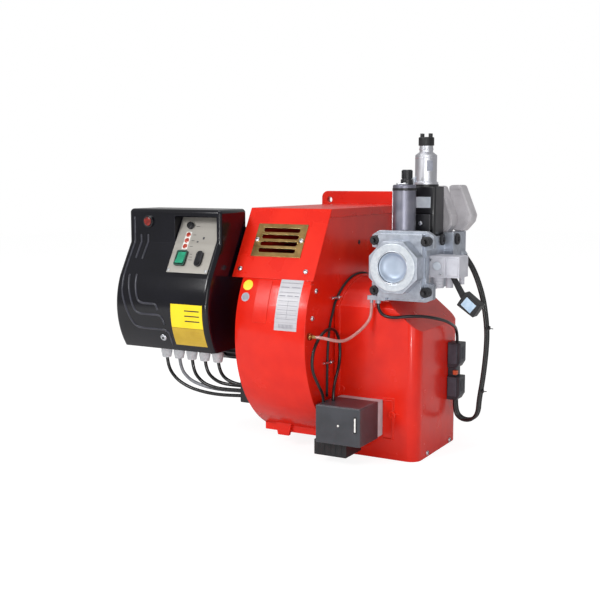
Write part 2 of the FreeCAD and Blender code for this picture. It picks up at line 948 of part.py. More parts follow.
def arched_block(name, inset, left, floor):
    """What the three outlines of the air box share."""
    back = dim.box_depth - dim.box_front
    arch = prism(
        name + "_arch", (left, 0, 0), "X", arched_path(inset, floor), BOX_RIGHT - inset - left
    )
    side = prism(
        name + "_side", (0, back - inset, 0), "-Y", side_path(inset, left, floor),
        dim.box_depth - 2 * inset,
    )
    plan = prism(
        name + "_plan", (0, 0, floor), "Z", plan_path(inset, left), dim.box_drop - APEX_DROP + 10
    )
    return common(name, arch, side, plan)


def make_air_box():
    wall = dim.box_wall
    sill = 40
    boss = (
        dim.servo_left + dim.servo_width + 17, 1 - dim.box_front, dim.servo_rise - dim.servo_drop - 30
    )
    outer = arched_block("air_box_outer", 0, BOX_LEFT, -dim.box_drop)
    room = arched_block("air_box_room", wall, BOX_LEFT - 2, -dim.box_drop - 2)
    shaft_hole = cylinder(
        "damper_shaft_hole", (dim.damper_right, 10 - dim.box_front + dim.box_depth, -dim.damper_drop),
        "-Y", dim.damper_shaft_radius + dim.running_gap, dim.box_depth + 20,
    )
    left_wall = box(
        "air_box_sill", (BOX_LEFT, wall - dim.box_front - 2, -dim.box_drop),
        (wall, dim.box_depth - 2 * wall + 4, sill),
    )
    emboss = dim.emboss_height + 1
    pad = box(
        "emboss_pad",
        (dim.servo_left + dim.servo_width, -dim.box_front - dim.emboss_height, -dim.servo_drop - 3),
        (22, emboss, dim.servo_rise + 6),
    )
    small_boss = (BOX_LEFT + 14, 1 - dim.box_front, 11 - dim.servo_drop + dim.servo_rise)
    bosses = [
        cylinder("emboss_boss", boss, "-Y", 7, emboss + 1.5),
        cylinder("small_boss", small_boss, "-Y", 6, emboss),
    ]
    lip_outer = prism(
        "box_lip_outer", (BOX_LEFT, 0, 0), "X", arched_path(-dim.box_lip, -dim.box_drop),
        dim.box_lip_width,
    )
    lip_inner = prism(
        "box_lip_inner", (BOX_LEFT - 1, 0, 0), "X", arched_path(wall, -dim.box_drop - 1),
        dim.box_lip_width + 2,
    )
    lip = cut("box_lip", lip_outer, lip_inner)
    shell = cut("air_box_shell", outer, room)
    joined = fuse("air_box_joined", shell, lip, left_wall, pad, *bosses)
    return keep(cut("air_box_casting", joined, shaft_hole), "air_box")


def make_gasket():
    """Flat seal between the air box and the side of the casting."""
    inner = dim.box_wall + 3
    ring = prism(
        "gasket_outer", (HALF, 0, 0), "X",
        arched_path(dim.seal_inset, dim.seal_inset - dim.box_drop), dim.seal_thick,
    )
    hole = prism(
        "gasket_hole", (HALF - 1, 0, 0), "X", arched_path(inner, inner - dim.box_drop),
        dim.seal_thick + 2,
    )
    return keep(cut("gasket_ring", ring, hole), "box_gasket")


def make_intake_grille():
    """Slotted plate that closes the air box below."""
    wall = dim.box_wall
    plate = prism(
        "intake_plate", (0, 0, -dim.box_drop), "Z", plan_path(wall, BOX_LEFT + wall),
        dim.intake_sheet,
    )
    slots = []
    for index in range(int(dim.intake_count.number)):
        slots.append(
            box(
                f"intake_slot_{index}",
                (BOX_LEFT + wall + 7 + index * dim.intake_pitch, -dim.box_front + 24, -dim.box_drop - 1),
                (dim.intake_slot, dim.box_depth - 48, dim.intake_sheet + 2),
            )
        )
    return keep(cut("intake_slotted", plate, *slots), "intake_grille")


# Fan: inlet cone, wheel with forward-curved blades, shaft and motor

def make_inlet_cone():
    """Bell mouth that leads the air from the eye into the wheel."""
    eye = dim.eye_radius
    thick = dim.wheel_sheet
    throat = dim.cone_throat
    path = [
        (eye, 0, 90, 1), (eye + 20, 0), (eye + 20, thick), (eye + thick, thick),
        (throat + thick, dim.cone_depth, 90, -1), (throat, dim.cone_depth),
    ]
    return keep(turned("cone_turned", (HALF - dim.wall, WHEEL_Y, WHEEL_Z), "-X", path), "inlet_cone")


def make_impeller():
    """Back plate and hub, a ring of blades, and the shroud ring that ties their tips."""
    bore = dim.shaft_radius
    hub = dim.hub_radius
    sheet_thick = dim.wheel_sheet
    tip = dim.wheel_radius - 2
    root_edge = dim.blade_root
    width = dim.blade_width
    wheel = turned(
        "wheel_plate", (-dim.wheel_left, WHEEL_Y, WHEEL_Z), "X",
        [
            (bore, -14), (hub, -14), (hub, 0), (dim.wheel_radius, 0), (dim.wheel_radius, sheet_thick),
            (hub + 8, sheet_thick), (hub, 24), (bore, 24),
        ],
    )
    tip_u = tip * cosine(dim.blade_lead)
    tip_v = -tip * sine(dim.blade_lead)
    shift_u = dim.blade_sheet * 0.6
    shift_v = dim.blade_sheet * 0.9
    blade = pad_more(
        wheel, "wheel_blade",
        [
            (root_edge, 0), (tip_u, tip_v, dim.blade_bend, -1),
            (tip_u - shift_u, tip_v - shift_v), (root_edge - shift_u, -shift_v, dim.blade_bend, 1),
        ],
        width + sheet_thick / 2,
    )
    polar(wheel, blade, dim.blade_count)
    revolve_more(
        wheel, "wheel_shroud",
        [
            (dim.eye_radius + 4, width), (dim.wheel_radius, width),
            (dim.wheel_radius, width + sheet_thick), (dim.eye_radius + 4, width + sheet_thick),
        ],
    )
    return keep(wheel, "impeller")


def on_motor(name, start, path):
    """A turned piece on the motor's axis; its heights run leftwards from start."""
    return turned(name, (-dim.scroll_left - start, WHEEL_Y, WHEEL_Z), "-X", path)


def make_motor():
    """Flange motor: shaft, flange, finned body with its wiring box, cooling fan and cowl."""
    bore = dim.shaft_radius + dim.running_gap
    radius = dim.motor_radius
    flange = dim.motor_flange
    length = dim.motor_length
    outer = radius + dim.fin_height
    cowl = dim.cowl_length
    thick = dim.wheel_sheet
    shaft_start = dim.wheel_left - dim.scroll_left - 24
    shaft_end = flange + length + cowl - 14
    spigot = dim.motor_hole_radius - dim.touch_gap
    shaft = on_motor("shaft_bar", 0, rectangle(0, shaft_start, dim.shaft_radius, shaft_end))
    keep(shaft, "motor_shaft")
    disc = [
        (bore, -dim.wall), (spigot, -dim.wall), (spigot, 0), (dim.motor_flange_radius, 0),
        (dim.motor_flange_radius, flange), (bore, flange),
    ]
    keep(on_motor("flange_disc", 0, disc), "motor_flange")
    body = on_motor("motor_turned", flange, rectangle(bore, 0, radius, length))
    fin = pad_more(body, "motor_fin", rectangle(radius - 2, -1.25, outer, 1.25), length)
    polar(body, fin, dim.fin_count)
    wiring_box = box(
        "motor_wiring_box", (-dim.scroll_left - flange - 86, WHEEL_Y + radius - 6, WHEEL_Z - 30),
        (70, 36, 60),
    )
    keep(fuse("motor_with_box", body, wiring_box), "motor_body")
    cup = [
        (outer - thick, 0), (outer, 0), (outer, cowl - 8), (outer - 8, cowl, 8, 1),
        (12, cowl), (12, cowl - thick), (outer - 8, cowl - thick),
        (outer - thick, cowl - 8, 8 - thick, -1),
    ]
    cover = on_motor("cowl_turned", flange + length, cup)
    slot = pocket_through(cover, "cowl_slot", rectangle(24, -3.5, outer - 16, 3.5))
    polar(cover, slot, dim.cowl_slots)
    keep(cover, "motor_cowl")
    fan = on_motor("fan_hub", flange + length + 6, rectangle(dim.shaft_radius, 0, 16, 20))
    blade = pad_more(fan, "fan_blade", rectangle(15, -1.2, outer - 12, 1.2), 18)
    polar(fan, blade, dim.cooling_blades)
    keep(fan, "cooling_fan")


def make_motor_screws():
    """Hexagon heads that hold the motor's flange to the casting."""
    heads = []
    circle = (dim.motor_hole_radius + dim.motor_flange_radius) / 2
    for index in range(6):
        angle = 60 * index + 30
        point = (
            -dim.scroll_left - dim.motor_flange, WHEEL_Y + circle * cosine(angle),
            WHEEL_Z + circle * sine(angle),
        )
        heads.append(prism(f"motor_screw_{index}", point, "-X", regular(6, 8), 5))
    keep(group("motor_screw_set", *heads), "motor_screws")


# Damper in the air box, with the actuator that turns its shaft

def make_damper():
    """A plate with clipped corners, fixed on a flat of its shaft."""
    half = dim.damper_half
    flat = dim.damper_shaft_radius - 2
    low = dim.box_wall - dim.box_front + dim.damper_edge_gap
    high = dim.box_depth - dim.box_front - dim.box_wall - dim.damper_edge_gap
    clip = 14
    outline = [
        (-half, low + clip), (clip - half, low), (half - clip, low), (half, low + clip),
        (half, high - clip), (half - clip, high), (clip - half, high), (-half, high - clip),
    ]
    plate = prism(
        "damper_plate", (dim.damper_right, 0, flat - dim.damper_drop), "Z", outline, dim.damper_sheet
    )
    keep(plate, "damper_blade")
    start = -dim.box_front - dim.servo_base + 6
    end = dim.box_depth - dim.box_front + 8
    bar = cylinder(
        "damper_bar", (dim.damper_right, start, -dim.damper_drop), "Y",
        dim.damper_shaft_radius, end - start,
    )
    recess = box(
        "damper_flat", (dim.damper_right - 10, low, flat - dim.damper_drop), (20, high - low, 10)
    )
    keep(cut("damper_bar_cut", bar, recess), "damper_shaft")


def make_servo():
    """Actuator: base plate on the air box, its cover and the wiring box below it."""
    left = dim.servo_left
    base_front = -dim.box_front - dim.servo_base
    plate = box(
        "servo_base_block", (left + 1.5, base_front, 1.5 - dim.servo_drop),
        (dim.servo_width - 3, dim.servo_base, dim.servo_rise - 3),
    )
    hole = cylinder(
        "servo_shaft_hole", (dim.damper_right, base_front + 5, -dim.damper_drop), "Y",
        dim.damper_shaft_radius + dim.running_gap, dim.servo_base,
    )
    keep(cut("servo_base_bored", plate, hole), "servo_plate")
    shell = prism(
        "servo_shell", (left, base_front, -dim.servo_drop), "-Y",
        rectangle(0, 0, dim.servo_width, dim.servo_rise), dim.servo_depth,
    )
    round_edges(shell, 2, along_z)
    keep(shell, "servo_cover")
    wiring = box("servo_wiring", (left - 14, base_front - 60, -dim.servo_drop - 30), (68, 66, 30))
    keep(wiring, "servo_terminal_box")


# Control box: back plate, moulded cover, panel, switches, lamps and cable glands

CONTROL_LEFT = -dim.control_right - dim.control_width
KNEE_LEAN = (dim.control_hip_front - dim.control_front) / (dim.control_knee + dim.control_hip_drop)
PANEL = Slope(-dim.control_front, dim.control_knee, KNEE_LEAN)
BELLY_RUN = (dim.control_hip_front - dim.control_toe_front) / 2
BELLY_FALL = (dim.control_drop - dim.control_hip_drop) / 2
BELLY_HALF = root(BELLY_RUN * BELLY_RUN + BELLY_FALL * BELLY_FALL)
BELLY_REACH = root(dim.control_belly * dim.control_belly - BELLY_HALF * BELLY_HALF) / BELLY_HALF
BELLY_Y = BELLY_RUN - dim.control_hip_front + BELLY_REACH * BELLY_FALL
BELLY_Z = -dim.control_hip_drop - BELLY_FALL + BELLY_REACH * BELLY_RUN
TOE_ANGLE = 23.3
TOE = Slope(
    BELLY_Y - dim.control_belly * cosine(TOE_ANGLE), BELLY_Z - dim.control_belly * sine(TOE_ANGLE),
    -sine(TOE_ANGLE) / cosine(TOE_ANGLE),
)
SWITCHES = (
    ("power", -174, dim.power_width, dim.power_round),
    ("stage", -132, dim.stage_width, dim.stage_round),
)
SWITCH_UP = -33
LAMP_RIGHT = -174
LAMP_UPS = (18, 5.5, -7)
CAP_UP = 37
BUTTON_RIGHT = -265
BUTTON_RISE = 69


def cover_path(inset, below):
    """Outline of the control box's cover in Y and Z."""
    return [
        (-dim.control_back + below, -dim.control_drop - below),
        (-dim.control_back + below, dim.control_top - inset),
        (inset - dim.control_front, dim.control_top - inset),
        (inset - dim.control_front, dim.control_knee + inset / 4),
        (inset - dim.control_hip_front, -dim.control_hip_drop),
        (inset - dim.control_toe_front, -dim.control_drop - below, dim.control_belly, 1),
    ]


def recess_path(out, above):
    """Wedge in Y and Z in front of the panel's plane, up to the recess's ceiling."""
    rise = dim.recess_top - dim.control_knee + above
    top = PANEL.at(0, rise / cosine(PANEL.angle), -out)
    foot = PANEL.at(0, 0, -out)
    front = -dim.control_front - 1 - out
    return [(foot[1], foot[2]), (top[1], top[2]), (front, top[2]), (front, foot[2])]


def switch_openings(layer, depth):
    """Blocks that open a sheet for the bodies of the rocker switches."""
    blocks = []
    for name, middle, size, _ in SWITCHES:
        corner = PANEL.at(middle - size / 2 + 1, SWITCH_UP - dim.bezel_height / 2 + 2, -depth)
        extent = (size - 2, dim.bezel_height - 4, 2 * depth)
        blocks.append(box(f"{name}_{layer}_opening", corner, extent, PANEL.turn))
    return blocks


def make_control_cover():
    wall = dim.control_wall
    width = dim.control_width
    left = -dim.panel_left - 2
    recess_width = dim.panel_width + 4
    shell = prism("cover_outer", (CONTROL_LEFT, 0, 0), "X", cover_path(0, 0), width)
    back = -dim.control_back.number
    low = -dim.control_drop.number
    top = dim.control_top.number

    def on_front(edge):
        """True for the edges round both sides and for the top front edge, in the cover's frame."""
        at = edge.CenterOfMass
        if at.x > back - 1 or at.y < low + 1:
            return False
        return not along_z(edge) or at.y > top - 1

    round_edges(shell, dim.control_round, on_front)
    room = prism(
        "cover_room", (CONTROL_LEFT + wall, 0, 0), "X", cover_path(wall, 1), width - 2 * wall
    )
    wedge = prism("recess_wedge", (left, 0, 0), "X", recess_path(0, 0), recess_width)
    around = prism(
        "recess_walls", (left - wall, 0, 0), "X", recess_path(wall, wall + 2), recess_width + 2 * wall
    )
    button_hole = cylinder(
        "button_hole", (BUTTON_RIGHT, 10 - dim.control_front, BUTTON_RISE), "-Y", dim.button_radius, 20
    )
    hollow = cut("cover_hollow", room, around)
    openings = switch_openings("cover", 12)
    keep(cut("cover_shell", shell, hollow, wedge, button_hole, *openings), "control_cover")


def gland_places():
    """Left-right place of each cable gland."""
    return [index * dim.gland_pitch - dim.gland_left for index in range(int(dim.gland_count.number))]


def make_control_base():
    """Bent plate behind the cover, with the tab that holds it to the casting and the gland rail."""
    thick = dim.rail_sheet
    inside = dim.control_wall + 1
    left = CONTROL_LEFT + inside
    right = -dim.control_right - inside
    back = -dim.control_back
    low = -dim.control_drop
    rail_front = inside - dim.control_toe_front
    plate = box(
        "control_plate", (left, back, low), (-HALF - left, thick, dim.control_top - low - 6)
    )
    tab_low = -30
    tab_top = (dim.hood_foot - dim.control_back - HOOD_DEPTH) / LEAN - dim.hood_foot_drop - 4
    tab = box("control_tab", (-HALF - thick, back, tab_low), (thick, 55, tab_top - tab_low))
    rail = box("gland_rail", (left, rail_front, low), (right - left, back - rail_front, thick))
    corners = [
        box("plate_low_corner", (right, back - 1, low - 1), (HALF, thick + 2, 150)),
        box("plate_top_corner", (right, back - 1, tab_top), (HALF, thick + 2, dim.control_top)),
    ]
    holes = [
        cylinder(
            f"gland_hole_{index}", (x, -dim.gland_front, low + thick + 1), "-Z",
            dim.gland_thread, thick + 2,
        )
        for index, x in enumerate(gland_places())
    ]
    bent = fuse("control_bent", plate, tab, rail)
    keep(cut("control_bracket", bent, *corners, *holes), "control_base")


def make_panel():
    """Plate that carries the switches, the lamps and the fuse cap."""
    plate = prism(
        "panel_plate", PANEL.at(-dim.panel_left, SWITCH_UP - 30, 0), "slope",
        rectangle(0, 0, dim.panel_width, dim.panel_height), dim.panel_sheet, turn=PANEL.turn,
    )
    keep(cut("panel_pierced", plate, *switch_openings("panel", 5)), "control_panel")


def make_bezels():
    """Frames of the two rocker switches and the ring of the reset button."""
    rim = dim.bezel_rim
    height = dim.bezel_height
    low = SWITCH_UP - height / 2
    out = dim.panel_sheet
    solids = []
    for name, middle, size, corner in SWITCHES:
        left = middle - size / 2
        inside = size - 2 * rim
        frame = prism(
            f"{name}_rim", PANEL.at(left, low, out), "slope", rectangle(0, 0, size, height), 4,
            turn=PANEL.turn,
        )
        round_edges(frame, corner, along_z)
        sleeve = box(
            f"{name}_sleeve", PANEL.at(left + 1, low + 2, -9), (size - 2, height - 4, 11), PANEL.turn
        )
        room = box(
            f"{name}_room", PANEL.at(left + rim, low + rim, -10),
            (inside, height - 2 * rim, 20), PANEL.turn,
        )
        axle_hole = cylinder(
            f"{name}_axle_hole", PANEL.at(left + rim - 1.6, SWITCH_UP, out + 1.5), "X",
            dim.pivot_radius + dim.running_gap, inside + 3.2,
        )
        solids.append(cut(f"{name}_bezel", fuse(f"{name}_frame", frame, sleeve), room, axle_hole))
    radius = dim.button_radius
    ring = [(radius, 0), (radius + 3, 0), (radius + 3, 3), (radius + 2, 4, 1.2, 1), (radius, 4)]
    place = (BUTTON_RIGHT, -dim.control_front, BUTTON_RISE)
    solids.append(turned("button_ring", place, "-Y", ring))
    keep(group("bezel_set", *solids), "switch_bezels")


def make_rockers():
    """Two tilting keys; each turns on stubs in its bezel and rests with its top pressed in."""
    tilt = -dim.rocker_tilt
    pivot = dim.panel_sheet + 1.5
    profile = [(-12.2, 3.4), (-10.5, -5), (10.5, -5), (12.2, 3.4), (0, 1.9)]
    for name, middle, size, _ in SWITCHES:
        path = []
        for along, out in profile:
            up = SWITCH_UP + along * cosine(tilt) - out * sine(tilt)
            path.append(PANEL.at(0, up, pivot + out * cosine(tilt) + along * sine(tilt))[1:])
        width = size - 2 * dim.bezel_rim - 2 * dim.touch_gap
        key = prism(f"{name}_key", (middle - width / 2, 0, 0), "X", path, width)
        axle = cylinder(
            f"{name}_axle", PANEL.at(middle - width / 2 - 1.5, SWITCH_UP, pivot), "X",
            dim.pivot_radius, width + 3,
        )
        keep(fuse(f"{name}_rocker_whole", key, axle), f"{name}_rocker")


def make_button():
    """Reset button with a collar behind the cover that stops it from coming out."""
    radius = dim.button_radius - dim.touch_gap
    path = [
        (0, -12), (radius + 2, -12), (radius + 2, -10), (radius, -10), (radius, 4.5),
        (radius - 1.5, 6, 1.6, 1), (0, 6),
    ]
    place = (BUTTON_RIGHT, -dim.control_front, BUTTON_RISE)
    keep(turned("button_turned", place, "-Y", path), "reset_button")


def make_lamps():
    """Three domed indicator lamps on the panel."""
    radius = dim.lamp_radius
    path = [
        (0, 0), (radius + 1, 0), (radius + 1, 1), (radius, 1.2), (radius - 1, 2.8),
        (radius - 2.6, 3.6), (0, 3.6),
    ]
    domes = [
        turned(f"lamp_{index}", PANEL.at(LAMP_RIGHT, up, dim.panel_sheet), "slope", path, PANEL.turn)
        for index, up in enumerate(LAMP_UPS)
    ]
    keep(group("lamp_set", *domes), "indicator_lamps")


def make_fuse_cap():
    radius = 7
    path = [(0, 0), (radius, 0), (radius, 6), (radius - 1, 7, 1.2, 1), (0, 7)]
    place = PANEL.at(LAMP_RIGHT, CAP_UP, dim.panel_sheet)
    keep(turned("fuse_cap_turned", place, "slope", path, PANEL.turn), "fuse_cap")


def make_control_screws():
    """The cover's large screw and the two small ones in the panel's lower corners."""
    big = [(0, 0), (7, 0), (7, 1.5), (5, 3.4, 4, 1), (0, 3.6)]
    small = [(0, 0), (3, 0), (3, 0.8), (2, 1.8, 2, 1), (0, 2)]
    heads = [turned("cover_screw", TOE.at(-204, 0, 0), "slope", big, TOE.turn)]
    for index, x in enumerate((4 - dim.panel_left, dim.panel_width - dim.panel_left - 4)):
        place = PANEL.at(x, SWITCH_UP - 25, dim.panel_sheet)
        heads.append(turned(f"panel_screw_{index}", place, "slope", small, PANEL.turn))
    keep(group("control_screw_set", *heads), "control_screws")


def make_glands():
    """Cable glands through the rail, each with its lock nut inside."""
    radius = dim.gland_radius
    thread = dim.gland_thread
    thick = dim.rail_sheet
    length = dim.gland_length
    path = [
        (0, -thick - 4), (radius - 1, -thick - 4), (radius - 1, -thick), (thread, -thick),
        (thread, 0), (radius, 0), (radius, 7), (radius - 1.5, 8.5), (radius - 1.5, length - 4),
        (radius - 4, length), (0, length),
    ]
    glands = [
        turned(f"gland_{index}", (x, -dim.gland_front, -dim.control_drop), "-Z", path)
        for index, x in enumerate(gland_places())
    ]
    keep(group("gland_set", *glands), "cable_glands")


def make_cable_duct():
    """Small box on the casting's left side where the control cables go in."""
    depth = 27.5
    keep(box("duct_block", (-dim.scroll_left - depth, -426, -290), (depth, 50, 46)), "cable_duct")


# Gas valve train, from the threaded inlet to the elbow that enters the casting

VALVE_X = dim.valve_right
VALVE_Z = -dim.valve_drop
PLATE_FRONT = -dim.valve_front
EAR_FRONT = PLATE_FRONT + dim.valve_plate
BLOCK_FRONT = EAR_FRONT + dim.valve_ear
BLOCK_BACK = -dim.valve_block_back
DECK = VALVE_Z + 52
VALVE_REAR = 24
VALVE_SCREWS = ((-51, -47), (51, -47), (51, 47), (-51, 47))
BUNDLE_BACKS = (200, 188)
BUNDLE_SPOUT = (278, 18)
SPOUT_TILT = 141.8
SPOUT_LENGTH = 20


def make_inlet():
    """Octagonal flange with the gas thread, and the strainer behind it."""
    bore = dim.inlet_bore
    length = dim.inlet_length
    boss = prism(
        "inlet_octagon", (VALVE_X, PLATE_FRONT, VALVE_Z), "-Y", regular(8, dim.inlet_flats), length
    )
    room = turned(
        "inlet_room", (VALVE_X, PLATE_FRONT - length, VALVE_Z), "Y",
        [
            (0, -1), (bore + 3, -1), (bore + 2.5, 0), (bore, 2.5), (bore, dim.thread_length),
            (bore - 3, dim.thread_length), (bore - 3, length + 1), (0, length + 1),
        ],
    )
    keep(cut("inlet_bored", boss, room), "inlet_flange")
    dome = [
        (bore - 3.5, 0), (bore - 3.5, -2), (bore - 9, -5), (0, -6.5), (0, -5.5), (bore - 9.5, -4),
        (bore - 5, -1.2), (bore - 5, 0),
    ]
    keep(turned("strainer_dome", (VALVE_X, PLATE_FRONT, VALVE_Z), "Y", dome), "inlet_strainer")


def make_valve_body():
    """Front plate, ears for the screws, main block and the bosses on it."""
    half_width = dim.valve_width / 2
    half_height = dim.valve_height / 2
    plate = prism(
        "valve_front_plate", (VALVE_X, EAR_FRONT, VALVE_Z), "-Y",
        rectangle(-half_width, -half_height, half_width, half_height), dim.valve_plate,
    )
    ears = prism(
        "valve_ears", (VALVE_X, BLOCK_FRONT, VALVE_Z), "-Y",
        [
            (-62, -60), (-48, -66), (48, -66), (62, -60), (62, -34), (48, -30), (48, 30), (62, 34),
            (62, 56), (48, 65), (-48, 65), (-62, 56), (-62, 34), (-48, 30), (-48, -30), (-62, -34),
        ],
        dim.valve_ear,
    )
    block = box(
        "valve_block", (VALVE_X - 39, BLOCK_FRONT, DECK - 100), (78, BLOCK_BACK - BLOCK_FRONT, 100)
    )
    rear = box("valve_rear", (VALVE_X - 36, BLOCK_BACK, VALVE_Z - 34), (72, VALVE_REAR, 68))
    side = box("valve_side", (VALVE_X + 38, -250, VALVE_Z + 8), (20, 70, 50))
    lug = box("valve_lug", (164, EAR_FRONT - 13, -74), (36, 12, 8))
    gland = cylinder("valve_gland", (184, EAR_FRONT - 7, -74), "-Z", 5, 6)
    spout = cylinder("valve_spout", (170, EAR_FRONT - 7, -74), "-Z", dim.hose / 2, 6)
    cable_spouts = []
    for index, back in enumerate(BUNDLE_BACKS):
        place = (BUNDLE_SPOUT[0], -back, BUNDLE_SPOUT[1])
        cable_spout = cylinder(f"cable_spout_{index}", place, "Z", 5, SPOUT_LENGTH)
        cable_spout.Placement = FreeCAD.Placement(
            cable_spout.Placement.Base, Rotation(Vector(0, 1, 0), SPOUT_TILT)
        )
        cable_spouts.append(cable_spout)
    bore = cylinder(
        "valve_bore", (VALVE_X, PLATE_FRONT - 1, VALVE_Z), "Y",
        dim.elbow_radius - dim.elbow_wall, BLOCK_BACK - PLATE_FRONT + VALVE_REAR + 2,
    )
    seats = [
        cylinder(
            f"screw_seat_{index}", (VALVE_X + right, EAR_FRONT, VALVE_Z + up), "-Y",
            dim.valve_bolt_radius + dim.touch_gap, dim.valve_plate + 1,
        )
        for index, (right, up) in enumerate(VALVE_SCREWS)
    ]
    solid = fuse("valve_solid", plate, ears, block, rear, side, lug, gland, spout, *cable_spouts)
    keep(cut("valve_bored", solid, bore, *seats), "valve_body")


def make_valve_screws():
    """Four socket screws through the ears of the valve."""
    radius = dim.valve_bolt_radius
    path = [(0, 0), (radius, 0), (radius, 15), (radius - 1.5, 16.5), (4, 16.5), (4, 8), (0, 8)]
    heads = []
    for index, (right, up) in enumerate(VALVE_SCREWS):
        place = (VALVE_X + right, EAR_FRONT, VALVE_Z + up)
        heads.append(turned(f"valve_screw_{index}", place, "-Y", path))
    keep(group("valve_screw_set", *heads), "valve_screws")


def make_coils():
    """First coil with its knob, and the second coil block with its plug."""
    radius = dim.coil_radius
    height = dim.coil_height
    coil = turned(
        "coil_turned", (216, -325, DECK), "Z",
        [
            (0, 0), (16, 0), (16, 5), (radius, 5), (radius, height), (radius - 3, height + 3, 3, 1),
            (0, height + 3),
        ],
    )
    keep(coil, "coil_main")
    knob = turned(
        "knob_turned", (218, -325, DECK + height + 3), "Z",
        [(0, 0), (13, 0), (13, 22), (11, 27, 6, 1), (0, 28)],
    )
    keep(knob, "coil_knob")
    block = prism(
        "coil_block", (207, -235, DECK), "Z", rectangle(0, -50, 55, 0), dim.coil_block_height
    )
    round_edges(block, 6, along_z)
    keep(block, "coil_second")
    plug = box("plug_block", (223, -300, 57), (33, 15, 28))
    gland = cylinder("plug_gland", (240, -292, 57), "-Z", 7, 10)
    cap = box("plug_cap", (221, -302.5, 52), (37, 4, 34))
    keep(fuse("plug_whole", plug, gland, cap), "din_plug")


def make_brake():
    """Slow-opening brake on the second coil, with the cap that sets it."""
    radius = dim.brake_radius
    neck = radius - 8
    start = DECK + dim.coil_block_height
    waist = dim.brake_height + 8
    path = [
        (0, 0), (radius + 3, 0), (radius + 3, 8), (radius, 10), (radius, waist), (neck, waist + 6),
        (neck, waist + 18), (0, waist + 18),
    ]
    keep(turned("brake_turned", (232, -259, start), "Z", path), "hydraulic_brake")
    cap_start = start + waist + 18 + dim.touch_gap
    cap = turned(
        "brake_cap_turned", (232, -259, cap_start), "Z",
        [(0, 0), (neck + 2, 0), (neck + 2, 14), (neck, 16, 2, 1), (0, 16)],
    )
    prongs = [
        box(f"cap_prong_{index}", (left, -264, cap_start + 15), (5, 10, 8))
        for index, left in enumerate((221, 238))
    ]
    keep(fuse("brake_cap_whole", cap, *prongs), "brake_cap")


def make_regulator_covers():
    """Two slanted plastic covers behind the coils, one behind the other."""
    first = prism(
        "regulator_cover_a", (0, -200, 0), "-Y",
        [(236, DECK), (262, DECK), (276, 63), (276, 81), (254, 140), (236, 138)], 31,
    )
    second = prism(
        "regulator_cover_b", (0, -165, 0), "-Y",
        [(268, 50), (285, 50), (302, 69), (305, 82), (281, 141), (256, 141)], 34,
    )
    for cover in (first, second):
        round_edges(cover, dim.regulator_round, along_z)
    keep(group("regulator_cover_pair", first, second), "regulator_covers")


def make_pressure_switch():
    """Gas pressure switch on the right of the block, with its gland and its test nipples."""
    left = VALVE_X + 39
    first = box("switch_block", (left, -330, -30), (34, 56, 40))
    second = box("switch_block_end", (left + 34, -326, -30), (26, 48, 40))
    gland = cylinder("switch_gland", (left + 14, -312, -30), "-Z", 10, 21)
    nipples = [
        cylinder("nipple_a", (left + 28, -290, -30), "-Z", 7, 22),
        cylinder("nipple_b", (left + 50, -284, -30), "-Z", 5, 15),
    ]
    keep(fuse("switch_whole", first, second, gland, *nipples), "pressure_switch")


def make_elbow():
    """Pipe bend from the valve's rear into the side of the casting, with a flange at each end."""
    outer = dim.elbow_radius
    bend = dim.elbow_bend
    flange = 12
    face = 76
    valve_back = BLOCK_BACK + VALVE_REAR
    centre = (VALVE_X - bend, -dim.elbow_back - bend, VALVE_Z)

    def bent(name, radius, back, left):
        quarter = doc.addObject("Part::Torus", name + "_quarter")
        bind(quarter, Radius1=bend, Radius2=radius, Angle3=90)
        set_place(quarter, centre)
        start = valve_back - back
        straight = cylinder(
            name + "_straight", (VALVE_X, start, VALVE_Z), "Y", radius, centre[1] - start
        )
        across = cylinder(
            name + "_across", (centre[0], -dim.elbow_back, VALVE_Z), "-X", radius, centre[0] - left
        )
        return [quarter, straight, across]

    wall_plate = prism(
        "elbow_wall_plate", (HALF, -dim.elbow_back, VALVE_Z), "X", regular(4, face), flange
    )
    valve_plate = prism(
        "elbow_valve_plate", (VALVE_X, valve_back, VALVE_Z), "Y", regular(4, face), flange
    )
    pipe = bent("elbow_outer", outer, 0, HALF + 2)
    room = bent("elbow_inner", outer - dim.elbow_wall, 1, HALF + flange + 4)
    passage = cylinder(
        "elbow_passage", (HALF - 1, -dim.elbow_back, VALVE_Z), "X", dim.side_pipe_radius - 5, flange + 20
    )
    solid = fuse("elbow_solid", wall_plate, valve_plate, *pipe)
    keep(cut("elbow_bored", solid, passage, *room), "outlet_elbow")


def make_test_plug():
    """Square plug that hangs from the pressure switch on a short stem."""
    body = prism(
        "test_plug_body", (0, -290, 0), "-Y", [(336, -56), (367, -80), (352, -103), (320, -81)], 26
    )
    stem = prism(
        "test_plug_stem", (0, -296, 0), "-Y", [(303, -30), (312, -30), (333, -64), (325, -70)], 12
    )
    keep(fuse("test_plug_whole", body, stem), "test_plug")


# Plug connectors on the air box, wall screws and the pressure nipple

def make_connectors():
    """Upper and lower connector housings with the coupling piece between them."""
    back = dim.box_depth - dim.box_front - 29
    depth = 32
    edge = BOX_RIGHT + 20.5
    upper = prism(
        "connector_upper", (0, back, 0), "-Y",
        [(BOX_RIGHT, -222), (edge, -222), (edge + 7, -210), (edge + 7, -172), (BOX_RIGHT, -172)], depth,
    )
    lower = prism(
        "connector_lower", (0, back, 0), "-Y",
        [(BOX_RIGHT, -288), (edge, -288), (edge + 7, -276), (edge + 7, -240), (BOX_RIGHT, -240)], depth,
    )
    middle = box("connector_middle", (BOX_RIGHT, back - depth + 4, -240), (18, depth - 8, 18))
    keep(group("connector_set", upper, lower, middle), "plug_connectors")


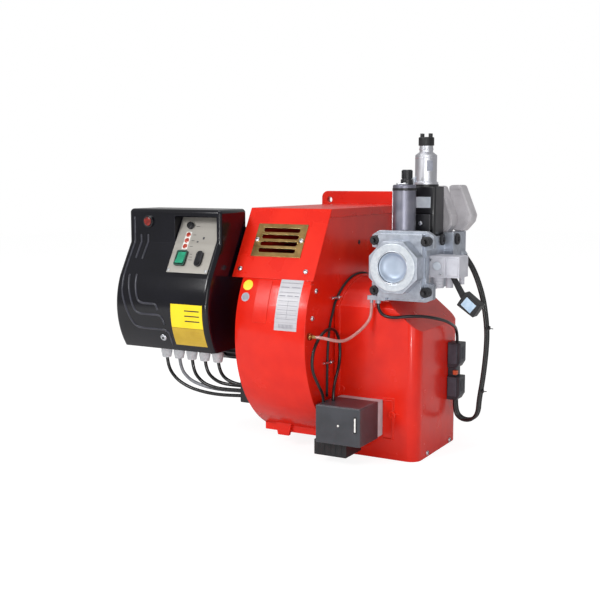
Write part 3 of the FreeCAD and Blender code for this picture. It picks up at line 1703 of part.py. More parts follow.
def make_wall_screws():
    """Screws in the casting's right side and in the air box."""
    path = [(0, 0), (5, 0), (5, 1), (3.5, 3, 3.2, 1), (0, 3.4)]
    places = [(HALF, -437, -56), (HALF, -452, -106), (BOX_RIGHT, -309, -374), (BOX_RIGHT, -190, -376)]
    heads = [
        turned(f"wall_screw_{index}", place, "X", path) for index, place in enumerate(places)
    ]
    keep(group("wall_screw_set", *heads), "wall_screws")


def make_nipple():
    """Brass nipple for the pressure hose."""
    path = [(0, 0), (7, 0), (7, 5), (3, 5), (3, 9), (3.8, 10), (2.6, 16), (0, 16)]
    keep(turned("nipple_turned", (HALF, -466, -138), "X", path), "brass_nipple")


# Cables and the pressure hose: straight runs joined by tangent arcs

def bent_wire(name, points):
    """Centre line through hand-set points with an arc at each corner, and its length."""
    corners = [Vector(*point) for point in points]
    edges = []
    radii = []
    at = corners[0]
    for before, corner, after in zip(corners, corners[1:], corners[2:]):
        back = before - corner
        ahead = after - corner
        reach = 0.45 * min(back.Length, ahead.Length)
        half_turn = (math.pi - back.getAngle(ahead)) / 2
        radius = reach / math.tan(half_turn)
        start = corner + back.normalize() * reach
        end = corner + ahead.normalize() * reach
        inward = ((start + end) * 0.5 - corner).normalize()
        middle = corner + inward * (radius / math.cos(half_turn) - radius)
        edges.append(Part.LineSegment(at, start).toShape())
        edges.append(Part.Arc(start, middle, end).toShape())
        radii.append(radius)
        at = end
    edges.append(Part.LineSegment(at, corners[-1]).toShape())
    length = sum(edge.Length for edge in edges)
    print(name, "tightest bend", round(min(radii), 1), "length", round(length, 1))
    return Part.Wire(edges), length


def tube(name, points, thickness):
    """A round cable or hose along hand-set points."""
    wire, length = bent_wire(name, points)
    start = Vector(*points[0])
    radius = thickness.number / 2
    ring = Part.Wire([Part.Circle(start, Vector(*points[1]) - start, radius).toShape()])
    solid = wire.makePipeShell([ring], True, False)
    expected = math.pi * radius * radius * length
    if abs(solid.Volume - expected) > 0.02 * expected:
        raise RuntimeError(f"{name} has volume {solid.Volume:.0f}, expected {expected:.0f}")
    held = doc.addObject("Part::Feature", name)
    held.Shape = solid
    return held


CONTROL_ROUTES = [
    [(-150, -415, -198), (-150, -415, -231), (-124, -415, -256), (-90.3, -415, -257)],
    [
        (-182, -415, -198), (-182, -415, -234), (-158, -410, -258), (-124, -405, -263),
        (-90.3, -404, -261),
    ],
    [
        (-214, -415, -198), (-214, -415, -236), (-190, -415, -262), (-157, -415, -270),
        (-124, -415, -270), (-90.3, -415, -268),
    ],
    [
        (-246, -415, -198), (-246, -415, -234), (-224, -411, -261), (-190, -405, -272),
        (-157, -404, -275), (-124, -404, -274), (-90.3, -404, -272),
    ],
    [
        (-278, -415, -198), (-278, -415, -232), (-257, -415, -260), (-224, -415, -275),
        (-190, -415, -281), (-157, -415, -283), (-124, -415, -282), (-90.3, -415, -279),
    ],
]
BUNDLE_ROUTE = [
    (290.4, 2.3), (300.3, -10.3), (311, -28), (321, -52), (330, -80), (336, -112), (340, -148),
    (339, -184),
    (336, -219), (332, -252), (327, -284), (325, -314), (311, -328), (291, -328), (277, -314),
    (277, -288),
]
CONNECTOR_ROUTE = [
    (184, -368, -80), (184, -368, -91), (195, -370, -103), (216, -370, -106), (242, -361, -102),
    (264, -341, -103), (279, -313, -109), (287, -284, -117), (288, -254, -127), (284, -224, -136),
    (279, -202, -146), (278, -193, -160), (278, -193, -172),
]
SERVO_ROUTE = [
    (106, -441, -265), (106, -441, -251), (103, -457, -229), (98, -473, -198), (98, -469, -166),
    (100, -448, -141), (103, -419, -128), (105, -391, -133), (105, -374, -155), (105, -370, -183),
    (106, -379, -210), (111, -403, -230), (116, -420, -248), (116, -420, -265),
]
HOSE_ROUTE = [
    (103.5, -466, -138), (116, -466, -138), (127, -459, -141), (136, -445, -146), (143, -420, -148),
    (155, -386, -133), (167, -371, -114), (170, -368, -98), (170, -368, -80),
]


def make_cables():
    bundle = [[(x, -back, z) for x, z in BUNDLE_ROUTE] for back in BUNDLE_BACKS]
    sets = (
        ("control_cables", CONTROL_ROUTES, dim.cable),
        ("valve_cables", bundle, dim.cable),
        ("connector_cable", [CONNECTOR_ROUTE], dim.loop_cable),
        ("servo_cable", [SERVO_ROUTE], dim.loop_cable),
        ("signal_hose", [HOSE_ROUTE], dim.hose),
    )
    for name, routes, thickness in sets:
        tubes = [tube(f"{name}_{index}", route, thickness) for index, route in enumerate(routes)]
        keep(tubes[0] if len(tubes) == 1 else group(name + "_set", *tubes), name)


# Build every sub-part, test it and write its file

MAKERS = (
    make_housing, make_hood, make_grille, make_hood_screws, make_flange, make_blast_tube,
    make_lance, make_swirl_disc, make_electrodes, make_air_box, make_gasket, make_intake_grille,
    make_inlet_cone, make_impeller, make_motor, make_motor_screws, make_damper, make_servo,
    make_control_cover, make_control_base, make_panel, make_bezels, make_rockers, make_button,
    make_lamps, make_fuse_cap, make_control_screws, make_glands, make_cable_duct, make_inlet,
    make_valve_body, make_valve_screws, make_coils, make_brake, make_regulator_covers,
    make_pressure_switch, make_elbow, make_test_plug, make_connectors, make_wall_screws,
    make_nipple, make_cables,
)
for make in MAKERS:
    make()
doc.recompute()

for obj in doc.Objects:
    if "Invalid" in obj.State or "Error" in obj.State:
        raise RuntimeError(f"{obj.Name} failed: {obj.State}")
os.makedirs("parts", exist_ok=True)
for name, obj in nodes.items():
    shape = obj.Shape
    if shape.isNull() or not shape.isValid():
        raise RuntimeError(f"{name} has no valid shape")
    shape.exportStep(f"parts/{name}.step")
    print(name, "solids", len(shape.Solids), "volume", round(shape.Volume))
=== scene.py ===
"""Looks of a forced-draught gas burner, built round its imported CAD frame.

The frame's own axes: the origin is the centre of the boiler flange's rear face, +Y is the way
the flame goes and +Z is up.  Shapes are drawn in millimetres and scaled to metres once; the
studio and the cables' routes are in metres.
"""

import math

import bmesh
import bpy
from mathutils import Matrix, Vector


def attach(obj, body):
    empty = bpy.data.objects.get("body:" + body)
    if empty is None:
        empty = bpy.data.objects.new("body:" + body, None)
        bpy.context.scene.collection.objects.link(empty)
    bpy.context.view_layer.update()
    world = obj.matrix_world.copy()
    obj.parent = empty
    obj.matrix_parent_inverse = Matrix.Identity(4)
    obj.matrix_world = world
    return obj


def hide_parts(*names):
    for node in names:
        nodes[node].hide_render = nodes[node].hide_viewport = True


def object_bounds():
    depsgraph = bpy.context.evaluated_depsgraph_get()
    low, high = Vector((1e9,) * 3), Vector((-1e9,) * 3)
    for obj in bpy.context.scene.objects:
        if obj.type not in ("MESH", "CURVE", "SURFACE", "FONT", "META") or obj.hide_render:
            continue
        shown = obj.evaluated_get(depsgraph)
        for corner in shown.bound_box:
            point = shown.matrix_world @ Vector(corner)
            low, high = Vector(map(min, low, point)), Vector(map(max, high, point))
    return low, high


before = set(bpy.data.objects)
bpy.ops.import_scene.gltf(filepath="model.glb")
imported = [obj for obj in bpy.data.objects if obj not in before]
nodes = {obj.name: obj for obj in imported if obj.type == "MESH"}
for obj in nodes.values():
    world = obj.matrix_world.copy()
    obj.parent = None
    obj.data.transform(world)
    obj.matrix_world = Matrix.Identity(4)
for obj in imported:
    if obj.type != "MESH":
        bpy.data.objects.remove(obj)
cad_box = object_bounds()


# Studio: a white floor in a white room, a broad lamp high on the left, a weaker one on the right,
# a lamp over the top and a small flash under the camera, which draws the crisp glints on the
# enamel.

CAMERA_PLACE = (0.9601, -2.0524, 0.1536)
CAMERA_AZIMUTH = 29.31
CAMERA_ELEVATION = 7.02
FOCAL_PIXELS = 987
PICTURE_PIXELS = 600
SENSOR_MM = 36


def linear(hex_colour):
    """An sRGB hex colour as the linear RGBA that a shader takes."""
    channels = [int(hex_colour[i:i + 2], 16) / 255 for i in (1, 3, 5)]
    return [c / 12.92 if c <= 0.04045 else ((c + 0.055) / 1.055) ** 2.4 for c in channels] + [1.0]


def add_node(tree, kind, sockets=None, **settings):
    """Add a node, set its own settings, and set or link its input sockets."""
    made = tree.nodes.new(kind)
    for name, value in settings.items():
        setattr(made, name, value)
    for name, value in (sockets or {}).items():
        if isinstance(value, bpy.types.NodeSocket):
            tree.links.new(value, made.inputs[name])
        else:
            made.inputs[name].default_value = value
    return made


camera_data = bpy.data.cameras.new("camera")
camera_data.sensor_width = SENSOR_MM
camera_data.lens = SENSOR_MM * FOCAL_PIXELS / PICTURE_PIXELS
camera_data.clip_end = 30
camera = bpy.data.objects.new("camera", camera_data)
camera.location = CAMERA_PLACE
camera.rotation_euler = (
    math.radians(90 - CAMERA_ELEVATION), 0, math.radians(CAMERA_AZIMUTH)
)
bpy.context.collection.objects.link(camera)
bpy.context.scene.camera = camera
bpy.context.scene.view_settings.view_transform = "Standard"

BURNER_MIDDLE = (0.0, -0.27, -0.1)


def lamp(name, place, size, power):
    """A rectangular area lamp that points at the burner's middle."""
    data = bpy.data.lights.new(name, "AREA")
    data.shape = "RECTANGLE"
    data.size, data.size_y = size
    data.energy = power
    made = bpy.data.objects.new(name, data)
    made.location = place
    aim = Vector(BURNER_MIDDLE) - Vector(place)
    made.rotation_euler = aim.to_track_quat("-Z", "Y").to_euler()
    bpy.context.collection.objects.link(made)


lamp("key_lamp", (-1.1, -2.9, 1.5), (0.9, 0.9), 47)
lamp("fill_lamp", (2.2, -2.4, 0.5), (1.0, 1.0), 9)
lamp("top_lamp", (0.0, -0.4, 2.4), (2.0, 1.2), 22)
lamp("flash", (0.95, -2.25, -0.1), (0.14, 0.14), 8)

# The room is white to the camera and through clear parts.  It lights the burner, and shows in
# its reflections, at a lower level.
ROOM_LIGHT = 0.42
ROOM_SHINE = 0.42
world = bpy.data.worlds.new("white_room")
world.use_nodes = True
bpy.context.scene.world = world
tree = world.node_tree
tree.nodes.clear()
rays = add_node(tree, "ShaderNodeLightPath")
seen = add_node(
    tree, "ShaderNodeMath",
    {0: rays.outputs["Is Camera Ray"], 1: rays.outputs["Is Transmission Ray"]},
    operation="MAXIMUM",
)
glossy = add_node(
    tree, "ShaderNodeMath", {0: rays.outputs["Is Glossy Ray"], 1: ROOM_SHINE},
    operation="MULTIPLY",
)
strength = add_node(
    tree, "ShaderNodeMath", {0: seen.outputs[0], 1: glossy.outputs[0]}, operation="MAXIMUM"
)
room_light = add_node(
    tree, "ShaderNodeMath", {0: strength.outputs[0], 1: ROOM_LIGHT}, operation="MAXIMUM"
)
room = add_node(
    tree, "ShaderNodeBackground", {"Color": (1, 1, 1, 1), "Strength": room_light.outputs[0]}
)
add_node(tree, "ShaderNodeOutputWorld", {"Surface": room.outputs[0]})

# Paper floor just under the feet.  To the camera it is mostly its own white, so that it meets
# the room without a line and still keeps the burner's shadow.
FLOOR_GAP = 0.0005
FLOOR_WHITE = 1.23
FLOOR_WHITE_SHARE = 0.72
floor_height = cad_box[0][2] - FLOOR_GAP
floor_mesh = bpy.data.meshes.new("floor")
floor_mesh.from_pydata(
    [(x, y, floor_height) for x, y in ((-6, -4), (6, -4), (6, 8), (-6, 8))], [], [(0, 1, 2, 3)]
)
floor = bpy.data.objects.new("floor", floor_mesh)
bpy.context.collection.objects.link(floor)
floor_paint = bpy.data.materials.new("white_paper")
floor_paint.use_nodes = True
tree = floor_paint.node_tree
tree.nodes.clear()
matte = add_node(tree, "ShaderNodeBsdfDiffuse", {"Color": linear("#f4f4f4")})
glow = add_node(tree, "ShaderNodeEmission", {"Color": (1, 1, 1, 1), "Strength": FLOOR_WHITE})
rays = add_node(tree, "ShaderNodeLightPath")
lift = add_node(
    tree, "ShaderNodeMath", {0: rays.outputs["Is Camera Ray"], 1: FLOOR_WHITE_SHARE},
    operation="MULTIPLY",
)
both = add_node(
    tree, "ShaderNodeMixShader", {0: lift.outputs[0], 1: matte.outputs[0], 2: glow.outputs[0]}
)
add_node(tree, "ShaderNodeOutputMaterial", {"Surface": both.outputs[0]})
floor_mesh.materials.append(floor_paint)


# Casting, air box, hood and boiler flange.  The fan casing and the air box are sand-cast iron,
# the flange is bolted behind them, and a folded steel hood closes the air chamber.  All wear
# the same baked red enamel.

MM = 0.001
EDGE_MM = 0.8


def finish(
    name, tones, patch_mm, roughness, grain, edge=None, stretch=(1, 1, 1), **settings
):
    """A surface that wanders between two tones in patches, with a fine grain and soft edges.

    roughness is its low and high, grain the size and height of its bumps in mm, and edge the
    colour painted along its edges: a paler painted highlight on most, a darker line on the yellow
    films.  Other settings are the shader's own sockets.  Plated, printed and moulded grain is
    really too fine to show, so it is drawn coarser, at 0.4 mm and more, where it softens the
    glints.
    """
    material = bpy.data.materials.new(name)
    material.use_nodes = True
    tree = material.node_tree
    tree.nodes.clear()
    where = add_node(tree, "ShaderNodeTexCoord")
    spread = add_node(
        tree, "ShaderNodeMapping", {"Vector": where.outputs["Object"], "Scale": stretch}
    )
    patches = add_node(
        tree, "ShaderNodeTexNoise",
        {"Vector": spread.outputs[0], "Scale": 1 / (patch_mm * MM), "Detail": 4.0},
    )
    colour = add_node(tree, "ShaderNodeValToRGB", {"Fac": patches.outputs["Fac"]})
    for stop, place, tone in zip(colour.color_ramp.elements, (0.35, 0.65), tones):
        stop.position = place
        stop.color = linear(tone)
    rough = add_node(
        tree, "ShaderNodeMapRange",
        {"Value": patches.outputs["Fac"], "To Min": roughness[0], "To Max": roughness[1]},
    )
    soft = add_node(tree, "ShaderNodeBevel", {"Radius": EDGE_MM * MM}, samples=4)
    bumps = add_node(
        tree, "ShaderNodeTexNoise",
        {"Vector": spread.outputs[0], "Scale": 1 / (grain[0] * MM), "Detail": 2.0},
    )
    relief = add_node(
        tree, "ShaderNodeBump",
        {
            "Height": bumps.outputs["Fac"], "Distance": grain[1] * MM, "Strength": 1.0,
            "Normal": soft.outputs[0],
        },
    )
    shade = colour.outputs[0]
    # Along the edges, where the bevelled normal turns from the flat one, the colour goes over to
    # edge: mostly a paler painted highlight; on the yellow films it is a darker line.
    if edge:
        flat = add_node(tree, "ShaderNodeNewGeometry")
        turned_by = add_node(
            tree, "ShaderNodeVectorMath", {0: soft.outputs[0], 1: flat.outputs["Normal"]},
            operation="DOT_PRODUCT",
        )
        line = add_node(
            tree, "ShaderNodeMapRange",
            {"Value": turned_by.outputs["Value"], "From Min": 1.0, "From Max": 0.85},
        )
        painted_edge_tone = add_node(
            tree, "ShaderNodeMix", {"Factor": line.outputs[0], 6: shade, 7: linear(edge)},
            data_type="RGBA",
        )
        shade = painted_edge_tone.outputs[2]
    surface = add_node(
        tree, "ShaderNodeBsdfPrincipled",
        {
            "Base Color": shade, "Roughness": rough.outputs[0], "Normal": relief.outputs[0],
            **{
                word.replace("_", " ").title().replace("Ior", "IOR"): value
                for word, value in settings.items()
            },
        },
    )
    add_node(tree, "ShaderNodeOutputMaterial", {"Surface": surface.outputs[0]})
    return material


def round_edges(name, width_mm, segments=3, angle=32):
    """Round the edges of a CAD node, whose flat faces are joined first so that they bevel."""
    node = nodes[name]
    weld = node.modifiers.new("weld", "WELD")
    weld.merge_threshold = 0.02 * MM
    merge = node.modifiers.new("merge_flats", "DECIMATE")
    merge.decimate_type = "DISSOLVE"
    merge.angle_limit = math.radians(0.3)
    bevel = node.modifiers.new("rounding", "BEVEL")
    bevel.width = width_mm * MM
    bevel.segments = segments
    bevel.limit_method = "ANGLE"
    bevel.angle_limit = math.radians(angle)
    bevel.harden_normals = True


def paint(material, *names):
    """Give CAD nodes their material."""
    for name in names:
        for slot in nodes[name].material_slots:
            slot.material = material


# Baked enamel on smooth steel: saturated red, orange peel of about 2 mm, painted highlight on
# edges.
red_enamel = finish(
    "red_baked_enamel", ("#da1e0c", "#e2240e"), 60, (0.24, 0.32), (1.8, 0.03), "#f4543c",
    coat_weight=0.1, coat_roughness=0.15, specular_ior_level=0.26,
)
# The same enamel on sand-cast iron, where the casting's pits break up the glints.
red_cast_enamel = finish(
    "red_enamel_on_casting", ("#d81d0c", "#e1230f"), 40, (0.22, 0.3), (2.2, 0.08), "#f4543c",
    coat_weight=0.15, coat_roughness=0.1, specular_ior_level=0.3,
)
paint(red_enamel, "access_hood", "boiler_flange")
paint(red_cast_enamel, "fan_housing", "air_box")
for name, rounding in (
    ("fan_housing", 2.5), ("access_hood", 1.2), ("air_box", 4), ("boiler_flange", 1.5),
):
    round_edges(name, rounding)


# Front of the scroll: a cast pad for a riveted plate, a polyester form label, blank but for
# its rules, and two round stickers, all glued on but the pad.  The front is a quarter of a
# drum, given by its centre in Y and Z and its radius.

SCROLL_CENTRE = (-264, -149)
SCROLL_RADIUS = 222


def piece(name, mesh, material):
    """Make an object of a mesh or curve and let it ride on the burner's body."""
    made = bpy.data.objects.new(name, mesh)
    bpy.context.collection.objects.link(made)
    mesh.materials.append(material)
    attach(made, "frame")
    return made


def mesh_of(name, builder, smooth=True):
    """Turn a bmesh in millimetres into a mesh in metres."""
    bmesh.ops.remove_doubles(builder, verts=builder.verts, dist=0.001)
    bmesh.ops.recalc_face_normals(builder, faces=builder.faces)
    bmesh.ops.scale(builder, vec=(MM, MM, MM), verts=builder.verts)
    mesh = bpy.data.meshes.new(name)
    builder.to_mesh(mesh)
    builder.free()
    for face in mesh.polygons:
        face.use_smooth = smooth
    return mesh


LET_IN = 0.3


def skin(builder, rows, thick):
    """A thin plate from rows of (point, normal): its face stands thick above the points."""
    tops = [[builder.verts.new(point + normal * thick) for point, normal in row] for row in rows]
    feet = [[builder.verts.new(point - normal * LET_IN) for point, normal in row] for row in rows]
    for low, high in zip(tops, tops[1:]):
        for i in range(len(low) - 1):
            builder.faces.new((low[i], low[i + 1], high[i + 1], high[i]))
    last_row, last = len(tops) - 1, len(tops[0]) - 1
    rim = [(0, i) for i in range(last + 1)] + [(j, last) for j in range(1, last_row + 1)]
    rim += [(last_row, i) for i in range(last - 1, -1, -1)]
    rim += [(j, 0) for j in range(last_row - 1, 0, -1)]
    for (j, i), (next_j, next_i) in zip(rim, rim[1:] + rim[:1]):
        builder.faces.new((tops[j][i], tops[next_j][next_i], feet[next_j][next_i], feet[j][i]))


def scroll_face(x, angle):
    """Point and normal on the scroll's front, angle in degrees up from level."""
    way = Vector((0, -math.cos(math.radians(angle)), math.sin(math.radians(angle))))
    return Vector((x, *SCROLL_CENTRE)) + way * SCROLL_RADIUS, way


def scroll_plate(name, left, right, low, high, thick, material):
    """A plate wrapped on the scroll between two places in X and two angles."""
    builder = bmesh.new()
    rows = [
        [scroll_face(left + (right - left) * i / 6, low + (high - low) * j / 14) for i in range(7)]
        for j in range(15)
    ]
    skin(builder, rows, thick)
    return piece(name, mesh_of(name, builder, smooth=False), material)


def scroll_sticker(name, x, angle, radius, material, thick=0.35):
    """A round sticker on the scroll."""
    builder = bmesh.new()
    per_mm = math.degrees(1 / SCROLL_RADIUS)
    turns = [math.tau * i / 32 for i in range(33)]
    rows = [
        [
            scroll_face(
                x + reach * math.cos(turn), angle + reach * per_mm * math.sin(turn)
            )
            for turn in turns
        ]
        for reach in (0.01 * radius, 0.5 * radius, radius)
    ]
    skin(builder, rows, thick)
    return piece(name, mesh_of(name, builder, smooth=False), material)


scroll_plate("scroll_pad", -24, 6, 8.5, 29.4, 1.1, red_cast_enamel)

# Matt polyester film: an even pale grey-white without glints.
label_white = finish(
    "white_film_label", ("#b6b5ba", "#bfbec3"), 30, (0.3, 0.4), (0.4, 0.002), "#cfc9c9"
)
# Faint printed rules: a wave every 9 mm darkens the film at its crest.  The wave texture
# repeats every 0.314 m at scale 1.
RULE_SPACING_MM = 9
WAVE_AT_SCALE_ONE = 0.314
tree = label_white.node_tree
surface = next(node for node in tree.nodes if node.type == "BSDF_PRINCIPLED")
plain = surface.inputs["Base Color"].links[0].from_socket
where = add_node(tree, "ShaderNodeTexCoord")
bands = add_node(
    tree, "ShaderNodeTexWave",
    {
        "Vector": where.outputs["Object"], "Distortion": 0.0,
        "Scale": WAVE_AT_SCALE_ONE / (RULE_SPACING_MM * MM),
    },
    bands_direction="Z",
)
line = add_node(
    tree, "ShaderNodeMapRange",
    {"Value": bands.outputs["Fac"], "From Min": 0.84, "From Max": 1.0, "To Max": 0.6},
)
ruled = add_node(
    tree, "ShaderNodeMix", {"Factor": line.outputs[0], 6: plain, 7: linear("#a9a5ab")},
    data_type="RGBA",
)
tree.links.new(ruled.outputs[2], surface.inputs["Base Color"])
scroll_plate("type_plate", 24, 72, 5.5, 30.8, 0.3, label_white)

# Grey printing ink: flat dark strokes, each from left to right, at an angle, some degrees high.
label_ink = finish("label_ink", ("#8b8a93", "#97969f"), 6, (0.5, 0.6), (0.4, 0.002))
FORM_RULES = (
    (27, 69, 28.9, 0.25), (27, 45, 26.6, 0.5), (50, 69, 26.6, 0.5), (27, 69, 24.2, 0.2),
    (27, 40, 22.2, 0.5), (44, 56, 22.2, 0.5), (60, 69, 22.2, 0.5), (27, 69, 19.8, 0.2),
    (27, 69, 17.6, 0.2), (27, 69, 15.4, 0.2), (27, 69, 13.2, 0.2), (27, 69, 11.0, 0.2),
    (48, 48.6, 11.0, 8.8),
)
INK_STANDS = 0.42
for index, (left, right, angle, tall) in enumerate(FORM_RULES):
    scroll_plate(
        f"type_plate_rule_{index}", left, right, angle, angle + tall, INK_STANDS, label_ink
    )
for index in range(11):
    left = 33 + 2.9 * index
    scroll_plate(f"type_plate_tick_{index}", left, left + 1.2, 6.6, 8.6, INK_STANDS, label_ink)

# Yellow and grey vinyl film: flat, even colour; the yellow has a thin darker rim, the grey a
# painted highlight on its rim.
yellow_film = finish(
    "yellow_film", ("#f5d410", "#fadd1c"), 30, (0.3, 0.42), (0.5, 0.003), "#d9b70e"
)
grey_film = finish(
    "grey_film", ("#8f93a0", "#a2a6b2"), 6, (0.35, 0.5), (0.5, 0.003), "#e8e8ee"
)
scroll_sticker("yellow_sticker", -46.4, 26.8, 10.5, yellow_film)
scroll_sticker("grey_sticker", -46.8, 20.6, 8.6, grey_film)
scroll_sticker("grey_sticker_eye", -46.8, 20.6, 5.6, label_ink, 0.5)


# Fasteners of the casting: zinc-plated steel pan heads with a cross slot hold the hood, the
# vent and the side wall, and two plated studs pull the air box against its seal.

def bridge(builder, loops):
    """Faces between each closed loop of vertices and the next one."""
    for inner, outer in zip(loops, loops[1:]):
        count = len(inner)
        for i in range(count):
            after = (i + 1) % count
            builder.faces.new((inner[i], inner[after], outer[after], outer[i]))


def moved(builder, matrix):
    """Move a whole shape by a matrix."""
    bmesh.ops.transform(builder, matrix=matrix, verts=builder.verts)
    return builder


def turned(profile, place, out, steps=40, ends="cap"):
    """Spin a profile of (radius, height) in mm round the way out from a place.

    Its two ends are capped, left open, or joined to each other in a loop.
    """
    builder = bmesh.new()
    spin = Vector((0, 0, 1)).rotation_difference(Vector(out)).to_matrix().to_4x4()
    turns = [math.tau * i / steps for i in range(steps)]
    rows = [
        [builder.verts.new((r * math.cos(turn), r * math.sin(turn), h)) for turn in turns]
        for r, h in profile
    ]
    bridge(builder, rows + rows[:1] if ends == "loop" else rows)
    if ends == "cap":
        builder.faces.new(rows[0])
        builder.faces.new(rows[-1])
    return moved(builder, Matrix.Translation(place) @ spin)


def bar(corner, extent, turn=None):
    """A block from its low corner, turned by a matrix about that corner."""
    builder = bmesh.new()
    bmesh.ops.create_cube(builder, size=1)
    bmesh.ops.scale(builder, vec=extent, verts=builder.verts)
    bmesh.ops.translate(builder, vec=Vector(extent) / 2, verts=builder.verts)
    return moved(builder, Matrix.Translation(corner) @ (turn or Matrix()))


def join(builders):
    """Gather several bmeshes into the first."""
    first = builders[0]
    for other in builders[1:]:
        spare = bpy.data.meshes.new("spare")
        other.to_mesh(spare)
        other.free()
        first.from_mesh(spare)
        bpy.data.meshes.remove(spare)
    return first


def fit(name, builder, material, rounding=None, smooth=True, angle=32):
    """Fit a shape to the burner with edges crisp above the angle, or rounded by a size in mm."""
    made = piece(name, mesh_of(name, builder, smooth), material)
    if rounding:
        bevel = made.modifiers.new("rounding", "BEVEL")
        bevel.width = rounding * MM
        bevel.segments = 2
        bevel.limit_method = "ANGLE"
        bevel.angle_limit = math.radians(angle)
        bevel.harden_normals = True
    else:
        made.data.set_sharp_from_angle(angle=math.radians(angle))
    return made


# Zinc plating: bright grey that catches small white glints.
zinc_plate = finish(
    "zinc_plated_steel", ("#c3c6cc", "#d7d9de"), 8, (0.22, 0.34), (0.8, 0.01), "#f0f0f4",
    metallic=1.0,
)
# Painted shade down in a slot, socket or open tapping, near black and without glints; also the
# black print rules on the cover's label.
slot_shade_and_ink = finish("painted_slot_shade_and_ink", ("#1b1b1e", "#242428"), 5, (0.5, 0.6), (0.8, 0.01))


SLOT_TURN = 38
SLOT_DEEP = 0.5


def crossed_head(name, place, out, radius):
    """The cross slot of a screw, drawn on its head as two bars of painted shade."""
    spin = Vector((0, 0, 1)).rotation_difference(Vector(out).normalized()).to_matrix().to_4x4()
    matrix = Matrix.Translation(place) @ spin @ Matrix.Rotation(math.radians(SLOT_TURN), 4, "Z")
    bars = [
        moved(bar((-long / 2, -wide / 2, 0), (long, wide, SLOT_DEEP)), matrix)
        for long, wide in ((radius * 1.1, radius * 0.24), (radius * 0.24, radius * 1.1))
    ]
    return piece(name, mesh_of(name, join(bars), smooth=False), slot_shade_and_ink)


# The hood's slanted face, from its foot in Y and Z: how deep and how tall it leans back, in mm.
HOOD_FOOT = (-453, -36)
HOOD_DEEP, HOOD_TALL = 74, 132
HOOD_LEAN = math.atan(HOOD_DEEP / HOOD_TALL)
HOOD_OUT = (0, -math.cos(HOOD_LEAN), math.sin(HOOD_LEAN))
PAN_HEAD = 3.6


def hood_point(x, up, out):
    """A point on the hood's slanted face, in mm."""
    slope = Vector((0, math.sin(HOOD_LEAN), math.cos(HOOD_LEAN)))
    return Vector((x, *HOOD_FOOT)) + slope * up + Vector(HOOD_OUT) * out


paint(zinc_plate, "hood_screws", "wall_screws", "motor_screws", "control_screws")
for index, x in enumerate((-75.5, 69.5)):
    crossed_head(f"hood_slot_{index}", hood_point(x, 18.3, 3.15), HOOD_OUT, PAN_HEAD)
for index, x in enumerate((-54, 44)):
    crossed_head(f"vent_slot_{index}", hood_point(x, 81, 4.65), HOOD_OUT, PAN_HEAD)
WALL_SCREWS = (
    (87.5, -437, -56), (87.5, -452, -106), (263.5, -309, -374), (263.5, -190, -376),
)
for index, (x, y, z) in enumerate(WALL_SCREWS):
    crossed_head(f"wall_slot_{index}", (x + 3.15, y, z), (1, 0, 0), PAN_HEAD)

# A tapping in the casting's side wall is left open; its hole is a dark disc of painted shade with
# a rim.
tapping = turned(
    [(0.2, 0), (4.6, 0), (4.6, 0.5), (4.1, 0.9), (3.4, 0.9), (3.2, 0.3), (0.2, 0.3)],
    (87.5, -253.9, 25.9), (1, 0, 0), 28,
)
fit("wall_tapping", tapping, slot_shade_and_ink)

STUD = [
    (0.2, -14), (2.2, -14), (2.2, 5), (3.6, 5.2), (3.6, 8), (2.2, 8.2), (2.2, 13), (1.6, 13.6),
    (0.2, 13.6),
]
for index, (y, z) in enumerate(((-362, -76), (-395, -198))):
    fit(f"seal_stud_{index}", turned(STUD, (92.5, y, z), (0.25, 1, 0), 18), zinc_plate)


# Vent plate and firing head.  The vent is stamped brass with four louvred slots, screwed to the
# hood; the blast tube is rolled heat-resisting steel round a gas lance and two electrodes.

# Lacquered brass, polished: warm, dull gold with a painted highlight along the slots' edges.
brass = finish(
    "polished_brass", ("#aa8853", "#bb9963"), 14, (0.16, 0.3), (1.2, 0.015), "#f2e3a0",
    metallic=1.0,
)
paint(brass, "vent_grille", "brass_nipple")
round_edges("vent_grille", 0.5, 2)
# Rolled heat-resisting steel: grey, with long soft streaks along the tube.
heat_steel = finish(
    "heat_resisting_steel", ("#8c8986", "#a09c98"), 30, (0.3, 0.5), (1.5, 0.02), "#c9c6c2",
    stretch=(1, 0.15, 1), metallic=1.0,
)
# Drawn steel pipe and shafts: an even mid grey with a soft sheen.
steel_pipe = finish(
    "drawn_steel_pipe", ("#7c7d80", "#8f9093"), 20, (0.35, 0.5), (1.0, 0.01), "#b7b8ba",
    metallic=1.0,
)
# Glazed porcelain of the electrodes: creamy white with sharp glints.
porcelain = finish("glazed_porcelain", ("#ece7dc", "#f3efe6"), 10, (0.12, 0.2), (2.0, 0.005))
paint(heat_steel, "blast_tube", "swirl_disc")
paint(steel_pipe, "gas_lance", "motor_shaft", "damper_shaft")
paint(porcelain, "electrodes")


# Air box seal, intake grille and fan wheel.  The cast box is drawn against the casting's side
# over a rubber cord, which follows its arch and runs down to the actuator; grille, damper and
# wheel are folded from zinc-coated sheet.

# Nitrile rubber: matt black, with a faint painted highlight along its edges.
nitrile = finish("nitrile_seal", ("#17171a", "#1e1e21"), 12, (0.5, 0.62), (0.8, 0.01), "#34343a")
paint(nitrile, "box_gasket")
# Galvanised sheet: pale grey with faint spangle of about 9 mm.
galvanised = finish(
    "galvanised_sheet", ("#a3a8ad", "#bcc1c6"), 9, (0.3, 0.45), (2.5, 0.01), "#d9dde2",
    metallic=1.0,
)
paint(galvanised, "intake_grille", "damper_blade", "impeller", "inlet_cone")
round_edges("intake_grille", 0.6, 2)

# Arch of the air box: its centre in Y and Z, its radius, and the box's front face, in mm.
ARCH_CENTRE = (-254, -182)
ARCH_RADIUS = 140
BOX_FRONT = -360
CORD_RADIUS = 2.6
CORD_X = 89.2
CORD_STEPS = 12
